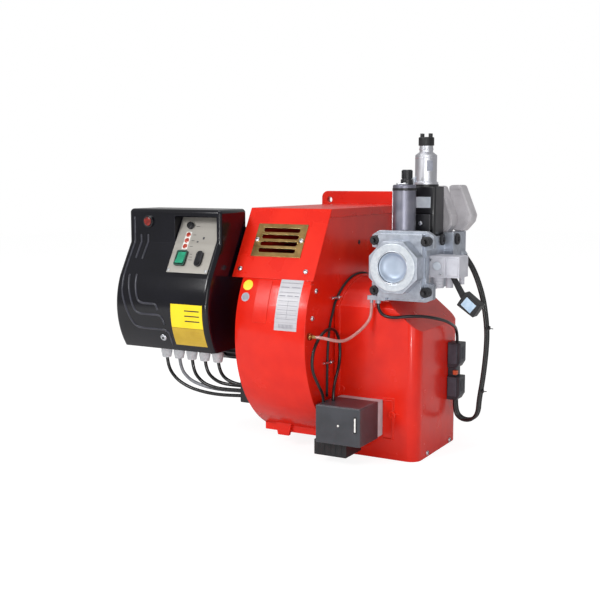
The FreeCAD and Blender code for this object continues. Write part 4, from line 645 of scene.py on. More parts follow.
# The cord lies 5 mm outside the box, and below the arch it bows up to 30 mm further forward.
CORD_OFF = 5
CORD_BOW = 30
BOW_TOP, BOW_LENGTH = -95, 34
seam = [
    (BOX_FRONT - CORD_OFF - CORD_BOW * (1 - math.exp((z - BOW_TOP) / BOW_LENGTH)), z)
    for z in range(-265, BOW_TOP, 10)
]
arch_start = math.degrees(math.acos((BOX_FRONT - ARCH_CENTRE[0]) / ARCH_RADIUS))
for step in range(25):
    turn = math.radians(arch_start - (arch_start - 70) * step / 24)
    reach = ARCH_RADIUS + CORD_OFF
    seam.append((
        ARCH_CENTRE[0] + reach * math.cos(turn), ARCH_CENTRE[1] + reach * math.sin(turn)
    ))
builder = bmesh.new()
loops = []
for index, (y, z) in enumerate(seam):
    before, after = seam[max(index - 1, 0)], seam[min(index + 1, len(seam) - 1)]
    ahead = Vector((0, after[0] - before[0], after[1] - before[1])).normalized()
    side = Vector((1, 0, 0)).cross(ahead)
    loop = []
    for i in range(CORD_STEPS):
        turn = math.tau * i / CORD_STEPS
        out = Vector((1, 0, 0)) * math.cos(turn) + side * math.sin(turn)
        loop.append(builder.verts.new(Vector((CORD_X, y, z)) + out * CORD_RADIUS))
    loops.append(loop)
bridge(builder, loops)
builder.faces.new(loops[0])
builder.faces.new(loops[-1])
piece("seal_cord", mesh_of("seal_cord", builder), nitrile)


# Fan motor on the left of the casting: a die-cast aluminium end shield bolted to the scroll, a
# finned body in black enamel and a moulded cowl over its cooling fan.

# Die-cast aluminium: pale grey, finely mottled.
motor_alloy = finish(
    "die_cast_aluminium", ("#a9adb2", "#bfc3c8"), 7, (0.35, 0.5), (1.1, 0.03), "#dfe2e6",
    metallic=1.0,
)
# Sprayed black enamel: satin, with a grey painted highlight along the fin edges.
motor_black = finish(
    "black_motor_enamel", ("#1a1b1e", "#232428"), 25, (0.35, 0.5), (1.2, 0.03), "#46474d"
)
# Moulded nylon: soft matt black, with a grey painted highlight along its edges.
moulded_black = finish(
    "moulded_black_nylon", ("#121215", "#1a1a1d"), 18, (0.4, 0.55), (0.7, 0.012), "#4a4a50"
)
paint(motor_alloy, "motor_flange")
paint(motor_black, "motor_body", "motor_cowl")
paint(moulded_black, "cooling_fan")


# Damper actuator: a dark grey moulded cover over a pale base, screwed to the air box, with the
# wiring box below.  A white pointer shows through a slot in the cover's front, and the box
# behind it carries a cast rectangle and a boss.

# Textured grey moulding: slate grey with a pale painted highlight along its edges.
servo_grey = finish(
    "grey_servo_moulding", ("#34363b", "#3d3f45"), 30, (0.28, 0.38), (0.9, 0.012), "#a6a8b0"
)
# Pale moulding of the base: light grey.
servo_pale = finish(
    "pale_servo_base", ("#b9b8bd", "#c8c7cb"), 20, (0.4, 0.5), (0.9, 0.012), "#e6e5e9"
)
# Natural nylon: plain white.
bright_nylon = finish("white_nylon", ("#e2e0dc", "#efede9"), 8, (0.3, 0.42), (0.6, 0.006))
paint(servo_grey, "servo_cover")
paint(servo_pale, "servo_plate")
paint(moulded_black, "servo_terminal_box")
round_edges("servo_cover", 2.2, 3)
round_edges("servo_plate", 1.2, 2)
round_edges("servo_terminal_box", 1.6, 2)


def plate(name, corner, extent, material, rounding=0.4, turn=None):
    """A small block with rounded edges."""
    return fit(name, bar(corner, extent, turn), material, rounding, smooth=False)


# The slot round the white pointer is a black plate of painted shade.
plate("servo_slot_shade", (180.6, -464.8, -311), (6.4, 1.4, 31), moulded_black, 0.6)
plate("servo_pointer", (182.2, -465.3, -308.5), (3.2, 1.4, 26), bright_nylon, 0.3)
plate("servo_top_panel", (104.5, -461, -265.4), (86, 72, 0.8), servo_grey)
plate("servo_edge_film", (192.2, -407, -333), (1.2, 20, 64), servo_pale)
for name, corner, extent in (
    ("right", (212, -364.1, -342), (2.4, 4, 74)), ("top", (193, -364.1, -268), (21, 4, 2.4)),
    ("foot", (193, -364.1, -343), (21, 4, 2.4)),
):
    plate(f"box_emboss_{name}", corner, extent, red_cast_enamel, 0.8)
boss = turned(
    [(0.2, 0), (8, 0), (8, 3), (7, 4.4), (4.2, 4.4), (3.4, 1.8), (0.2, 1.8)],
    (212, -360.5, -294), (0, -1, 0), 32,
)
fit("box_boss", boss, red_cast_enamel)
dot = turned(
    [(0.2, 0), (2.1, 0), (2.1, 0.6), (1.5, 1.1), (0.2, 1.1)], (148.9, -464, -300.5),
    (0, -1, 0), 28,
)
fit("servo_travel_dot", dot, bright_nylon)
for index in range(5):
    corner = (92 + 12 * index, -445, -363)
    plate(f"servo_terminal_rib_{index}", corner, (6, 1.4, 22), moulded_black, 0.5)


# Control box.  The cover is injection-moulded in gloss black ABS, with contour beads moulded
# in its left and lower faces; screws hold it to a steel back plate, whose rail carries the
# cable glands.

# Gloss ABS: deep blue-black that mirrors softly, with a paler painted highlight along its edges.
gloss_abs = finish(
    "gloss_black_abs", ("#06060d", "#0b0b14"), 60, (0.14, 0.2), (3.0, 0.01), "#4a4a58",
    specular_ior_level=0.45,
)
# Powder-coated steel, also the blacked screws: dull black with a fine texture.
black_steel = finish(
    "powdered_black_steel", ("#17171a", "#202024"), 20, (0.45, 0.58), (0.9, 0.03), "#45454b"
)
paint(gloss_abs, "control_cover")
paint(black_steel, "control_base", "valve_screws")
round_edges("control_cover", 1.4, 3, 20)
round_edges("control_base", 0.8, 2)

# The cover's front from the top: upright, sloping back to a knee, then bulging as part of a
# drum.  Heights, depths and the drum's centre and radius are in mm.
COVER_FRONT = -484
SLOPE_TOP, SLOPE_FOOT = 28, -35
SLOPE_DEPTH = 36
BULGE_CENTRE = (-387.44, -96.2)
BULGE_RADIUS = 146


def cover_face(x, z):
    """Point and normal on the control cover's front at a place in X and Z, in mm."""
    slope_tall = SLOPE_TOP - SLOPE_FOOT
    if z >= SLOPE_TOP:
        return Vector((x, COVER_FRONT, z)), Vector((0, -1, 0))
    if z >= SLOPE_FOOT:
        out = Vector((0, -slope_tall, SLOPE_DEPTH)).normalized()
        return Vector((x, COVER_FRONT - (SLOPE_TOP - z) * SLOPE_DEPTH / slope_tall, z)), out
    rise = z - BULGE_CENTRE[1]
    out = Vector((0, -math.sqrt(BULGE_RADIUS ** 2 - rise ** 2), rise)).normalized()
    return Vector((x, *BULGE_CENTRE)) + out * BULGE_RADIUS, out


# The beads are a paler and a little duller copy of the cover's black, a painted highlight, so that
# their crowns read as pale lines.  Each section runs across and outward in shares of the bead's
# half width and height.
bead_abs_painted_highlight = finish(
    "bead_black_abs_painted_highlight", ("#2a2a33", "#34343e"), 20, (0.26, 0.36), (1.5, 0.01), "#60606e"
)
BEAD_WIDE = 2.6
BEAD_HIGH = 1.7
BEAD_SECTION = ((-1, -0.3), (-0.7, 0.55), (0, 1), (0.7, 0.55), (1, -0.3))


def contour_bead(name, places):
    """A rounded bead that follows places on the cover's front; its line is a smooth spline."""
    track = bpy.data.curves.new("track", "CURVE")
    track.dimensions = "3D"
    track.resolution_u = 6
    spline = track.splines.new("NURBS")
    spline.points.add(len(places) - 1)
    for point, (x, z) in zip(spline.points, places):
        point.co = (x, 0, z, 1)
    spline.order_u = 3
    spline.use_endpoint_u = True
    holder = bpy.data.objects.new("track", track)
    line = bpy.data.meshes.new_from_object(holder)
    spots = [vertex.co.copy() for vertex in line.vertices]
    bpy.data.objects.remove(holder)
    bpy.data.meshes.remove(line)
    bpy.data.curves.remove(track)
    builder = bmesh.new()
    loops = []
    for i, spot in enumerate(spots):
        ahead = (spots[min(i + 1, len(spots) - 1)] - spots[max(i - 1, 0)]).normalized()
        side = Vector((-ahead.z, 0, ahead.x)) * BEAD_WIDE
        loop = []
        for across, rise in BEAD_SECTION:
            spread = spot + side * across
            point, out = cover_face(spread.x, spread.z)
            loop.append(builder.verts.new(point + out * BEAD_HIGH * rise))
        loops.append(loop)
    bridge(builder, loops)
    builder.faces.new(loops[0])
    builder.faces.new(loops[-1])
    return piece(name, mesh_of(name, builder), bead_abs_painted_highlight)


BEADS = {
    "outer": [
        (-299.9, 78), (-299.7, 60), (-299.8, 30.8), (-300.6, 0), (-300.4, -36.8), (-299, -65.8),
        (-292.2, -88), (-278, -121), (-267, -136), (-250, -138), (-225, -138), (-200, -138),
        (-190, -141), (-187.4, -150), (-187.2, -168),
    ],
    "upper": [(-284.2, 43.3), (-284, 34), (-284, 23.4), (-284.4, 8), (-284.9, -3.6)],
    "lower": [
        (-286.7, -34.2), (-285.5, -48), (-282.1, -62), (-275, -84), (-266, -103), (-256, -109),
        (-240, -109.2), (-222, -109.2), (-208, -109.2), (-199, -114), (-196, -128.4),
    ],
    "inner_upper": [(-266.6, 43.8), (-267, 34), (-267.3, 25.9), (-268, 10), (-269.2, -5)],
    "inner_lower": [
        (-269.5, -33.5), (-268.6, -46), (-266.4, -58.2), (-262, -74), (-257, -85), (-246, -88),
        (-230, -88), (-218, -88), (-212, -91), (-209.6, -100.5),
    ],
}
for name, places in BEADS.items():
    contour_bead(f"cover_bead_{name}", places)

# Blank label of yellow film with a darker lower field, glued to the bulge of the cover.
amber_film = finish(
    "amber_film", ("#b8961f", "#c4a22b"), 24, (0.35, 0.48), (0.5, 0.003), "#b98e17"
)


def cover_label(name, left, right, high, low, thick, material):
    """A film label that lies on the cover's front."""
    builder = bmesh.new()
    heights = [low + (high - low) * j / 14 for j in range(15)]
    places = [left + (right - left) * i / 4 for i in range(5)]
    skin(builder, [[cover_face(x, z) for x in places] for z in heights], thick)
    return piece(name, mesh_of(name, builder, smooth=False), material)


cover_label("cover_label_field", -178.5, -105, -85, -131, 0.35, yellow_film)
cover_label("cover_label_foot", -178.5, -105, -131.6, -167, 0.35, amber_film)
for index, z in enumerate((-96, -106, -116)):
    cover_label(f"cover_label_rule_{index}", -146, -112, z, z - 2.2, 0.5, slot_shade_and_ink)
for index, z in enumerate((-138, -143.5, -149, -154.5, -160)):
    cover_label(f"cover_label_line_{index}", -150, -111, z, z - 1.3, 0.5, amber_film)
crossed_head("cover_screw_slot", (-204, -524.85, -155.43), (0, -0.918, -0.396), 6.5)


# Panel in the cover's slope: brushed, clear-anodised aluminium with printed hairlines, held by
# two small screws.  It carries a fuse cap, three lamps, a green rocker and a black one, and
# the reset button stands in the upright part of the cover.

# Brushed aluminium under a clear anodic film: warm grey, drawn out across in fine streaks.
panel_metal = finish(
    "brushed_panel", ("#9c9891", "#aca8a1"), 40, (0.32, 0.44), (0.5, 0.01), "#e8e6e2",
    stretch=(0.06, 1, 1), metallic=0.35,
)
# Lit-through polycarbonate of the rocker and lamps: clear, strong colour with a painted highlight
# along its edges.
rocker_green = finish(
    "green_lens", ("#17906c", "#1ea67e"), 12, (0.14, 0.24), (0.8, 0.004), "#5fe0b8",
    coat_weight=0.5, transmission_weight=0.15,
)
lens_red = finish(
    "red_lens", ("#a82c1a", "#c23a22"), 5, (0.1, 0.2), (0.8, 0.004), "#ff9078",
    coat_weight=0.5, transmission_weight=0.15,
)
# Unlit lens of the reset button: dark, blotched red.
button_red = finish(
    "dark_red_lens", ("#4f100d", "#8e2118"), 4, (0.1, 0.2), (1.2, 0.01), "#d84a38",
    coat_weight=0.6,
)
# Switch mouldings: dark green and black, satin, with painted highlights along their rims.
frame_green = finish(
    "dark_green_frame", ("#173a30", "#1c463a"), 10, (0.25, 0.35), (0.6, 0.006), "#3f7f6c"
)
rocker_black = finish(
    "black_rocker_moulding", ("#0f0f12", "#17171b"), 10, (0.2, 0.3), (0.6, 0.006), "#4b4b55"
)
# Screen-printed ink: flat charcoal.
print_ink = finish("panel_ink", ("#38383c", "#404046"), 6, (0.5, 0.6), (0.4, 0.002))
paint(panel_metal, "control_panel")
paint(rocker_black, "switch_bezels", "stage_rocker", "fuse_cap")
paint(rocker_green, "power_rocker")
paint(lens_red, "indicator_lamps")
paint(button_red, "reset_button")
for name, rounding in (("power_rocker", 0.5), ("stage_rocker", 0.5), ("control_panel", 0.4)):
    round_edges(name, rounding, 2)

KNEE_ANGLE = math.atan(SLOPE_DEPTH / (SLOPE_TOP - SLOPE_FOOT))
PANEL_OUT = (0, -math.cos(KNEE_ANGLE), math.sin(KNEE_ANGLE))
PANEL_TURN = Matrix.Rotation(-KNEE_ANGLE, 4, "X")


def panel_point(x, up, out):
    """A point on the sloping panel, in mm: across, up the slope and out from it."""
    return Vector((
        x,
        COVER_FRONT + up * math.sin(KNEE_ANGLE) - out * math.cos(KNEE_ANGLE),
        SLOPE_TOP + up * math.cos(KNEE_ANGLE) + out * math.sin(KNEE_ANGLE),
    ))


# A mark's face stands this far out from the cover's slope, and its film is this thick, in mm.
MARK_STANDS = 1.8
MARK_THICK = 0.35


def panel_mark(name, x, up, wide, tall, material):
    """A print or a thin moulding flat on the panel."""
    corner = panel_point(x, up, MARK_STANDS)
    return plate(name, corner, (wide, MARK_THICK, tall), material, 0.1, turn=PANEL_TURN)


panel_mark("lamp_ground", -180.5, -13.5, 13, 38, bright_nylon)
for index, (up, length) in enumerate(((-24, 5), (-30, 7), (-36, 9))):
    panel_mark(f"switch_hairline_{index}", -157, up, length, 1.0, print_ink)
for index, up in enumerate((17.6, 5.1, -7.4)):
    panel_mark(f"lamp_hairline_{index}", -163, up, 7, 0.9, print_ink)
panel_mark("cap_hairline", -162, 36, 9, 0.9, print_ink)
panel_mark("stage_mark", -138, 9, 4, 5, print_ink)
panel_mark("power_mark", -150, 2, 4, 3, print_ink)
for index, x in enumerate((-196, -109)):
    crossed_head(f"panel_slot_{index}", panel_point(x, -58, 3.1), PANEL_OUT, 2.3)


# Section of a switch's frame: how far in from its outline, and out from the panel, in mm.
FRAME_SECTION = ((0, 5.2), (0.5, 5.9), (2.7, 5.9), (3.2, 4.4))


def rim(name, left, low, wide, tall, round_mm, material):
    """A raised frame with rounded corners round a switch."""
    builder = bmesh.new()
    loops = []
    for inset, out in FRAME_SECTION:
        loop = []
        radius = max(round_mm - inset, 0.4)
        for corner in range(4):
            across = left + (wide - inset - radius if corner in (0, 3) else inset + radius)
            up = low + (tall - inset - radius if corner in (0, 1) else inset + radius)
            for step in range(7):
                turn = math.radians(90 * corner + 15 * step)
                loop.append(builder.verts.new(panel_point(
                    across + radius * math.cos(turn), up + radius * math.sin(turn), out
                )))
        loops.append(loop)
    bridge(builder, loops + loops[:1])
    return fit(name, builder, material, angle=40)


rim("power_frame", -186.7, -49.2, 25.4, 32.4, 4.2, frame_green)
rim("stage_frame", -139.7, -49.2, 15.4, 32.4, 7.2, rocker_black)
KNURL = [(6.6, 0), (7.25, 0.3), (7.25, 0.9), (6.6, 1.2)]
for index in range(6):
    ring = turned(KNURL, panel_point(-174, 37, 2.2 + index * 0.62), PANEL_OUT, 24)
    fit(f"cap_knurl_{index}", ring, rocker_black)


# Cable glands in pale grey nylon, screwed through the rail under the control box: a hexagon, a
# ribbed cap nut and the cap that shows below the cover.  A moulded duct on the casting takes
# their cables.

# Grey nylon: pale, dull, with a near-white painted highlight along its edges.
pale_nylon = finish(
    "grey_nylon_gland", ("#c9cbd0", "#dcdee2"), 8, (0.35, 0.48), (0.6, 0.008), "#e8e9ec"
)
paint(pale_nylon, "cable_glands")
paint(moulded_black, "cable_duct")
round_edges("cable_duct", 2, 2)
GLAND_DEPTH = -415
GLAND_CAP = [(11.2, 0), (11.6, 1), (11.6, 8), (9, 20), (5.4, 20), (5.4, 0)]
for index, x in enumerate((-278, -246, -214, -182, -150)):
    ribs = []
    for step in range(16):
        turn = Matrix.Rotation(math.tau * step / 16, 4, "Z")
        rib = bar((10.3, -0.7, 0), (1.3, 1.4, 8.5))
        ribs.append(moved(rib, Matrix.Translation((x, GLAND_DEPTH, -193.5)) @ turn))
    fit(f"gland_ribs_{index}", join(ribs), pale_nylon, 0.3, smooth=False)
    cap = turned(GLAND_CAP, (x, GLAND_DEPTH, -196), (0, 0, -1), 24, ends="open")
    fit(f"gland_cap_{index}", cap, pale_nylon)
    nut = bmesh.new()
    bmesh.ops.create_cone(nut, cap_ends=True, segments=6, radius1=13.2, radius2=13.2, depth=6)
    bmesh.ops.translate(nut, vec=(x, GLAND_DEPTH, -184), verts=nut.verts)
    fit(f"gland_nut_{index}", nut, pale_nylon, 0.7, smooth=False)


# Gas valve train: a sand-cast aluminium body with a machined inlet flange, held by four black
# socket screws.  A strainer of woven wire sits behind the threaded inlet, which a dished foil
# cap closes in transit.

# Sand-cast aluminium: cool pale grey, mottled, with a bright painted highlight along its edges.
cast_aluminium = finish(
    "sand_cast_aluminium", ("#a6acb7", "#bbc1cb"), 9, (0.34, 0.48), (1.3, 0.07), "#dde3ea",
    metallic=0.75,
)
# The bore's turned rim is bright; the flange's face, milled over the casting, is paler and duller.
machined = finish(
    "machined_aluminium", ("#bfc6cf", "#d2d8df"), 6, (0.26, 0.36), (0.5, 0.01), "#f0f4f8",
    metallic=1.0,
)
face_metal = finish(
    "faced_aluminium", ("#ccd3db", "#dce2e8"), 5, (0.3, 0.4), (0.7, 0.02), "#f4f7fa",
    metallic=0.6,
)
paint(cast_aluminium, "valve_body", "inlet_flange")
round_edges("valve_body", 1.8, 3)
round_edges("inlet_flange", 1.4, 3)
# Woven wire cloth: bluish, glittering; its 0.5 mm mesh is drawn at 1.6 mm so that it shows.
wire_cloth = finish(
    "woven_wire_cloth", ("#9fb0c6", "#c3d0e2"), 3, (0.25, 0.4), (1.6, 0.12), "#e6eef8",
    metallic=0.8,
)
paint(wire_cloth, "inlet_strainer")
VALVE_X, VALVE_Z = 229, -8
FLANGE_FACE = -404.4
for name, inner, outer, stands, material in (
    ("inlet_face_ring", 31, 44, 1.5, face_metal), ("inlet_bore_ring", 28.6, 31.2, 1.9, machined),
):
    ring = turned(
        [
            (inner, 0), (outer, 0), (outer, 1.4), (outer - 0.8, 2), (inner + 0.8, 2),
            (inner, 1.4),
        ],
        (VALVE_X, FLANGE_FACE - stands, VALVE_Z), (0, -1, 0), 64, ends="loop",
    )
    fit(name, ring, material, angle=25)
# Each screw's hexagon socket is a thin dark hexagon of painted shade on its head.
for index, (x, z) in enumerate(((-51, -47), (51, -47), (51, 47), (-51, 47))):
    socket = bmesh.new()
    bmesh.ops.create_cone(
        socket, cap_ends=True, segments=6, radius1=3.6, radius2=3.6, depth=0.6
    )
    facing = Matrix.Rotation(math.radians(90), 4, "X")
    moved(socket, Matrix.Translation((VALVE_X + x, -384.2, VALVE_Z + z)) @ facing)
    name = f"valve_socket_shade_{index}"
    piece(name, mesh_of(name, socket, smooth=False), slot_shade_and_ink)

# Foil laminate: smooth, silver-blue and soft in its glints.
foil = finish(
    "silver_blue_foil", ("#a7b4c6", "#b8c4d4"), 22, (0.42, 0.52), (0.8, 0.006), "#e4ebf4",
    metallic=0.5,
)
DISH = [
    (0.2, -7), (27.5, -7), (28.2, 3), (27.4, 3.6), (26, 2.6), (24.5, 0.4), (22.5, -2.4),
    (19, -4.2), (14, -5), (7, -5.4), (0.2, -5.5),
]
dish = turned(DISH, (VALVE_X, -401.5, VALVE_Z), (0, -1, 0), 64)
piece("transit_cap", mesh_of("transit_cap", dish), foil)

# Black socketed plugs close the pressure tappings in the valve casting's right side.
PLUG = [(0.2, -1), (11, -1), (11, 3.2), (10, 4.2), (5.2, 4.2), (4.6, 2), (0.2, 2)]
for index, (x, y) in enumerate(((268, -262.5), (287, -232))):
    fit(f"tapping_plug_{index}", turned(PLUG, (x, y, 37), (1, 0, 0)), black_steel)


# Solenoid coils on the valve: black thermoset mouldings held down by nuts.  The first wears a
# darkened steel sleeve with a plated strap and a stepped, ribbed cap nut; the second has a
# blank film and carries the plug, which one screw holds.

# Black thermoset: satin, near black, with a grey painted highlight along its edges.
coil_black = finish(
    "black_thermoset_coil", ("#101014", "#17171b"), 20, (0.3, 0.42), (1.2, 0.02), "#4c4c55",
    coat_weight=0.2,
)
# Darkened steel of the sleeve: a broad soft highlight down its middle.
sleeve = finish(
    "satin_black_sleeve", ("#7b7b88", "#8a8a96"), 20, (0.34, 0.44), (0.9, 0.01), metallic=0.85
)
# Pale printed film: flat, bluish white.
pale_film = finish("pale_film", ("#c3cbd6", "#d2d9e2"), 12, (0.35, 0.48), (0.5, 0.003))
paint(sleeve, "coil_main")
paint(coil_black, "coil_second", "din_plug")
round_edges("coil_second", 1.2)
round_edges("din_plug", 2)

COIL_X, COIL_Y = 216, -325
COIL_RADIUS = 22
CAP_X = 221
COIL_CAP = [(0.2, 0), (12, 0), (12, 9), (11, 10), (9.4, 10.6), (9.4, 27), (8.4, 28), (0.2, 28)]
cap = fit("coil_cap", turned(COIL_CAP, (CAP_X, COIL_Y, 142), (0, 0, 1)), coil_black)
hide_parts("coil_knob")
for index in range(12):
    turn = math.tau * index / 12
    place = (CAP_X + 9.6 * math.cos(turn), COIL_Y + 9.6 * math.sin(turn), 153.5)
    rib = bar((-0.9, -1.0, 0), (1.8, 2.0, 15))
    rib = moved(rib, Matrix.Translation(place) @ Matrix.Rotation(turn, 4, "Z"))
    fit(f"cap_rib_{index}", rib, coil_black, 0.5, smooth=False)
for name, low, high, radius, steps, material in (
    ("coil_foot_band", 49.5, 54, 22.6, 48, zinc_plate),
    ("coil_head_band", 131, 136, 22.6, 48, coil_black),
    ("coil_nut", 142, 145, 17, 6, zinc_plate),
):
    tall = high - low
    band = turned(
        [(0.2, 0), (radius, 0), (radius, tall), (0.2, tall)], (COIL_X, COIL_Y, low), (0, 0, 1),
        steps,
    )
    fit(name, band, material, 0.6)


def round_label(name, place, radius, start, end, low, high, thick, material):
    """A strip bent round an upright cylinder, between two angles in degrees."""
    builder = bmesh.new()
    rows = []
    for z in (low, high):
        row = []
        for i in range(13):
            turn = math.radians(start + (end - start) * i / 12)
            out = Vector((math.cos(turn), math.sin(turn), 0))
            row.append((Vector((*place, z)) + out * radius, out))
        rows.append(row)
    skin(builder, rows, thick)
    return fit(name, builder, material)


round_label("coil_strap", (COIL_X, COIL_Y), COIL_RADIUS, -172, -148, 46, 132, 0.8, zinc_plate)
plate("second_coil_film", (220.4, -285.5, 97.8), (32.5, 0.6, 21), pale_film, 0.1)
screw = turned(
    [(0.2, 0), (4, 0), (4, 1.2), (3, 2.2), (0.2, 2.4)], (240, -302.5, 69), (0, -1, 0), 24
)
fit("din_plug_screw", screw, zinc_plate)
crossed_head("din_plug_slot", (240, -304.7, 69), (0, -1, 0), 2.8)


# Slow-opening brake behind the first coil: a chromed steel cylinder with turned grooves,
# screwed onto a black foot, with a bent film label, a pale stop box and a moulded setting cap.

# Satin chrome: bright, with soft upright streaks.
satin_chrome = finish(
    "satin_chrome", ("#c6c7cd", "#d8d9df"), 12, (0.34, 0.44), (0.8, 0.006), "#f4f4fa",
    stretch=(1, 1, 0.2), metallic=1.0,
)
paint(satin_chrome, "hydraulic_brake")
paint(moulded_black, "brake_cap")
round_edges("brake_cap", 0.8)
BRAKE = (232, -259)
BRAKE_RADIUS = 21
round_label("brake_film", BRAKE, BRAKE_RADIUS, -64, -30, 168, 188, 0.3, grey_film)
for name, low, radius, thick, material in (
    ("brake_lower_groove", 146.5, 21.8, 1.6, satin_chrome),
    ("brake_upper_groove", 192, 21.5, 1.4, satin_chrome),
    ("brake_neck_ring", 208, 13.8, 3, satin_chrome), ("brake_foot", 137.4, 25, 5, coil_black),
):
    ring = turned(
        [
            (0.2, 0), (radius - 0.5, 0), (radius, 0.4), (radius, thick - 0.4),
            (radius - 0.5, thick), (0.2, thick),
        ],
        (*BRAKE, low), (0, 0, 1), 48,
    )
    fit(name, ring, material)
plate("brake_stop_box", (203, -276, 141), (14, 20, 15), pale_film, 1.5)


# Regulator covers: two moulded caps fitted on the valve, one behind the other.  Each carries a
# raised ridge and a low core, and a dark joint runs behind it.

# Lilac-grey thermoplastic: mid grey, with a pale painted highlight along its ridges and edges.
lilac_grey = finish(
    "lilac_grey_moulding", ("#b4b1b5", "#c6c3c7"), 26, (0.3, 0.42), (0.9, 0.03), "#eeecf0"
)
paint(lilac_grey, "regulator_covers")
round_edges("regulator_covers", 1.6)
# Outlines of the covers in X and Z.  Each ridge has two depths in Y and its size as a share of
# the outline.
COVER_A = [(238, 52), (262, 52), (273, 63), (273, 80), (253, 137), (238, 136)]
COVER_B = [(270, 52), (284, 52), (299.5, 69.5), (302.5, 82), (280, 138.5), (258, 138.5)]
for name, outline, low, high, size, material in (
    ("cover_a_ridge", COVER_A, -230, -232.6, 0.86, lilac_grey),
    ("cover_a_core", COVER_A, -230, -231.4, 0.6, lilac_grey),
    ("cover_b_ridge", COVER_B, -198, -200.6, 0.88, lilac_grey),
    ("cover_b_core", COVER_B, -198, -199.6, 0.62, lilac_grey),
    ("cover_a_step", COVER_A, -214, -217, 1.045, coil_black),
    ("cover_b_step", COVER_B, -181, -184, 1.04, coil_black),
):
    builder = bmesh.new()
    corners = [Vector((x, 0, z)) for x, z in outline]
    centre = sum(corners, Vector()) / len(corners)
    loops = [
        [
            builder.verts.new(centre + (corner - centre) * scale + Vector((0, depth, 0)))
            for corner in corners
        ]
        for scale, depth in ((1, low), (1, high), (size, high), (size, low))
    ]
    bridge(builder, loops + loops[:1])
    fit(name, builder, material, 0.7, smooth=False)


# Pressure switch: a light grey moulding screwed to the valve's side.  Its lid has two plated
# screws and a dial; a lilac setting block and the rings of a cable gland sit low on it.

# Light grey thermoplastic: pale and matt.
switch_grey = finish(
    "light_grey_moulding", ("#bfc0c9", "#d0d1d9"), 20, (0.4, 0.52), (0.9, 0.02), "#e6e6ec"
)
paint(switch_grey, "pressure_switch")
round_edges("pressure_switch", 3)
plate("switch_lid", (271, -331.6, -27), (28, 2.2, 34), switch_grey, 1.4)
plate("switch_lid_end", (304.5, -327.4, -26), (21, 2.0, 32), switch_grey, 1.2)
plate("setting_block", (250, -341, -44), (22, 16, 20), lilac_grey, 2.0)
for index, (x, z) in enumerate(((275, 3), (295, -23))):
    screw = turned(
        [(0.2, 0), (2.6, 0), (2.6, 0.6), (1.8, 1.4), (0.2, 1.5)], (x, -333.8, z), (0, -1, 0), 20
    )
    fit(f"switch_screw_{index}", screw, zinc_plate)
    crossed_head(f"switch_slot_{index}", (x, -335.1, z), (0, -1, 0), 1.7)
dial = turned(
    [(0.2, 0), (8, 0), (8, 1), (7, 1.8), (0.2, 1.8)], (287, -333.6, -8), (0, -1, 0), 36
)
fit("switch_dial", dial, pale_film)
GLAND_RING = [(0.2, 0), (10.5, 0), (10.9, 0.5), (10.9, 2.2), (10.5, 2.7), (0.2, 2.7)]
for index in range(3):
    ring = turned(GLAND_RING, (282, -312, -38 - 5 * index), (0, 0, -1), 12)
    fit(f"switch_gland_ring_{index}", ring, switch_grey, 0.4, smooth=False)


# Outlet elbow: an iron casting with ribs round both its arms, zinc-plated and passivated.
# Four plated hexagon screws hold its flange to the fan casing.

# Olive-passivated zinc on the rough casting: dull greenish gold.
olive_cast = finish(
    "olive_passivated_zinc", ("#6f674c", "#857c5e"), 14, (0.34, 0.5), (1.2, 0.05), "#b3aa88",
    metallic=0.7,
)
paint(olive_cast, "outlet_elbow")
round_edges("outlet_elbow", 1.4)
ELBOW_Y = -115
ELBOW_RIB = [(26, 0), (29.9, 0), (30.5, 0.5), (30.5, 2.5), (29.9, 3), (26, 3)]
for index, (place, out) in enumerate((
    ((VALVE_X, -174, VALVE_Z), (0, 1, 0)), ((VALVE_X, -168.5, VALVE_Z), (0, 1, 0)),
    ((172, ELBOW_Y, VALVE_Z), (-1, 0, 0)), ((150, ELBOW_Y, VALVE_Z), (-1, 0, 0)),
    ((128, ELBOW_Y, VALVE_Z), (-1, 0, 0)),
)):
    fit(f"elbow_rib_{index}", turned(ELBOW_RIB, place, out, 48, ends="open"), olive_cast)
HEX_HEAD = [(0.2, 0), (5.5, 0), (5.5, 4.2), (4.8, 5), (0.2, 5)]
for index, (y, z) in enumerate(((-29, -29), (29, -29), (29, 29), (-29, 29))):
    bolt = turned(HEX_HEAD, (102, ELBOW_Y + y, VALVE_Z + z), (1, 0, 0), 6)
    fit(f"elbow_bolt_{index}", bolt, zinc_plate, 0.4, smooth=False)


# Test plug: a square black nylon moulding that hangs from the pressure switch on a short stem,
# with a blank film glued across its slanted face.

paint(moulded_black, "test_plug")
round_edges("test_plug", 1.6)
# Pale blue film: a flat, light spot on the plug.
blue_film = finish("pale_blue_film", ("#a9c3dc", "#bcd2e6"), 8, (0.35, 0.48), (0.5, 0.003))
lean = Matrix.Rotation(math.radians(40), 4, "Y")
plug_film = bar((-12, -0.5, -9.5), (24, 0.8, 19))
plug_film = moved(plug_film, Matrix.Translation((343.5, -316.2, -79.8)) @ lean)
fit("test_plug_film", plug_film, blue_film, 0.1, smooth=False)


# Plug connectors on the air box's side: two slate grey moulded housings, pushed together over
# an orange seal, with latch ribs and bare label spots.

# Slate grey thermoplastic, paler where handling has worn the face.
connector_grey = finish(
    "slate_connector_moulding", ("#26272e", "#30323a"), 14, (0.38, 0.5), (0.9, 0.02), "#656874"
)
connector_face = finish(
    "worn_connector_face", ("#3a3c46", "#464954"), 16, (0.42, 0.55), (0.9, 0.02), "#737683"
)
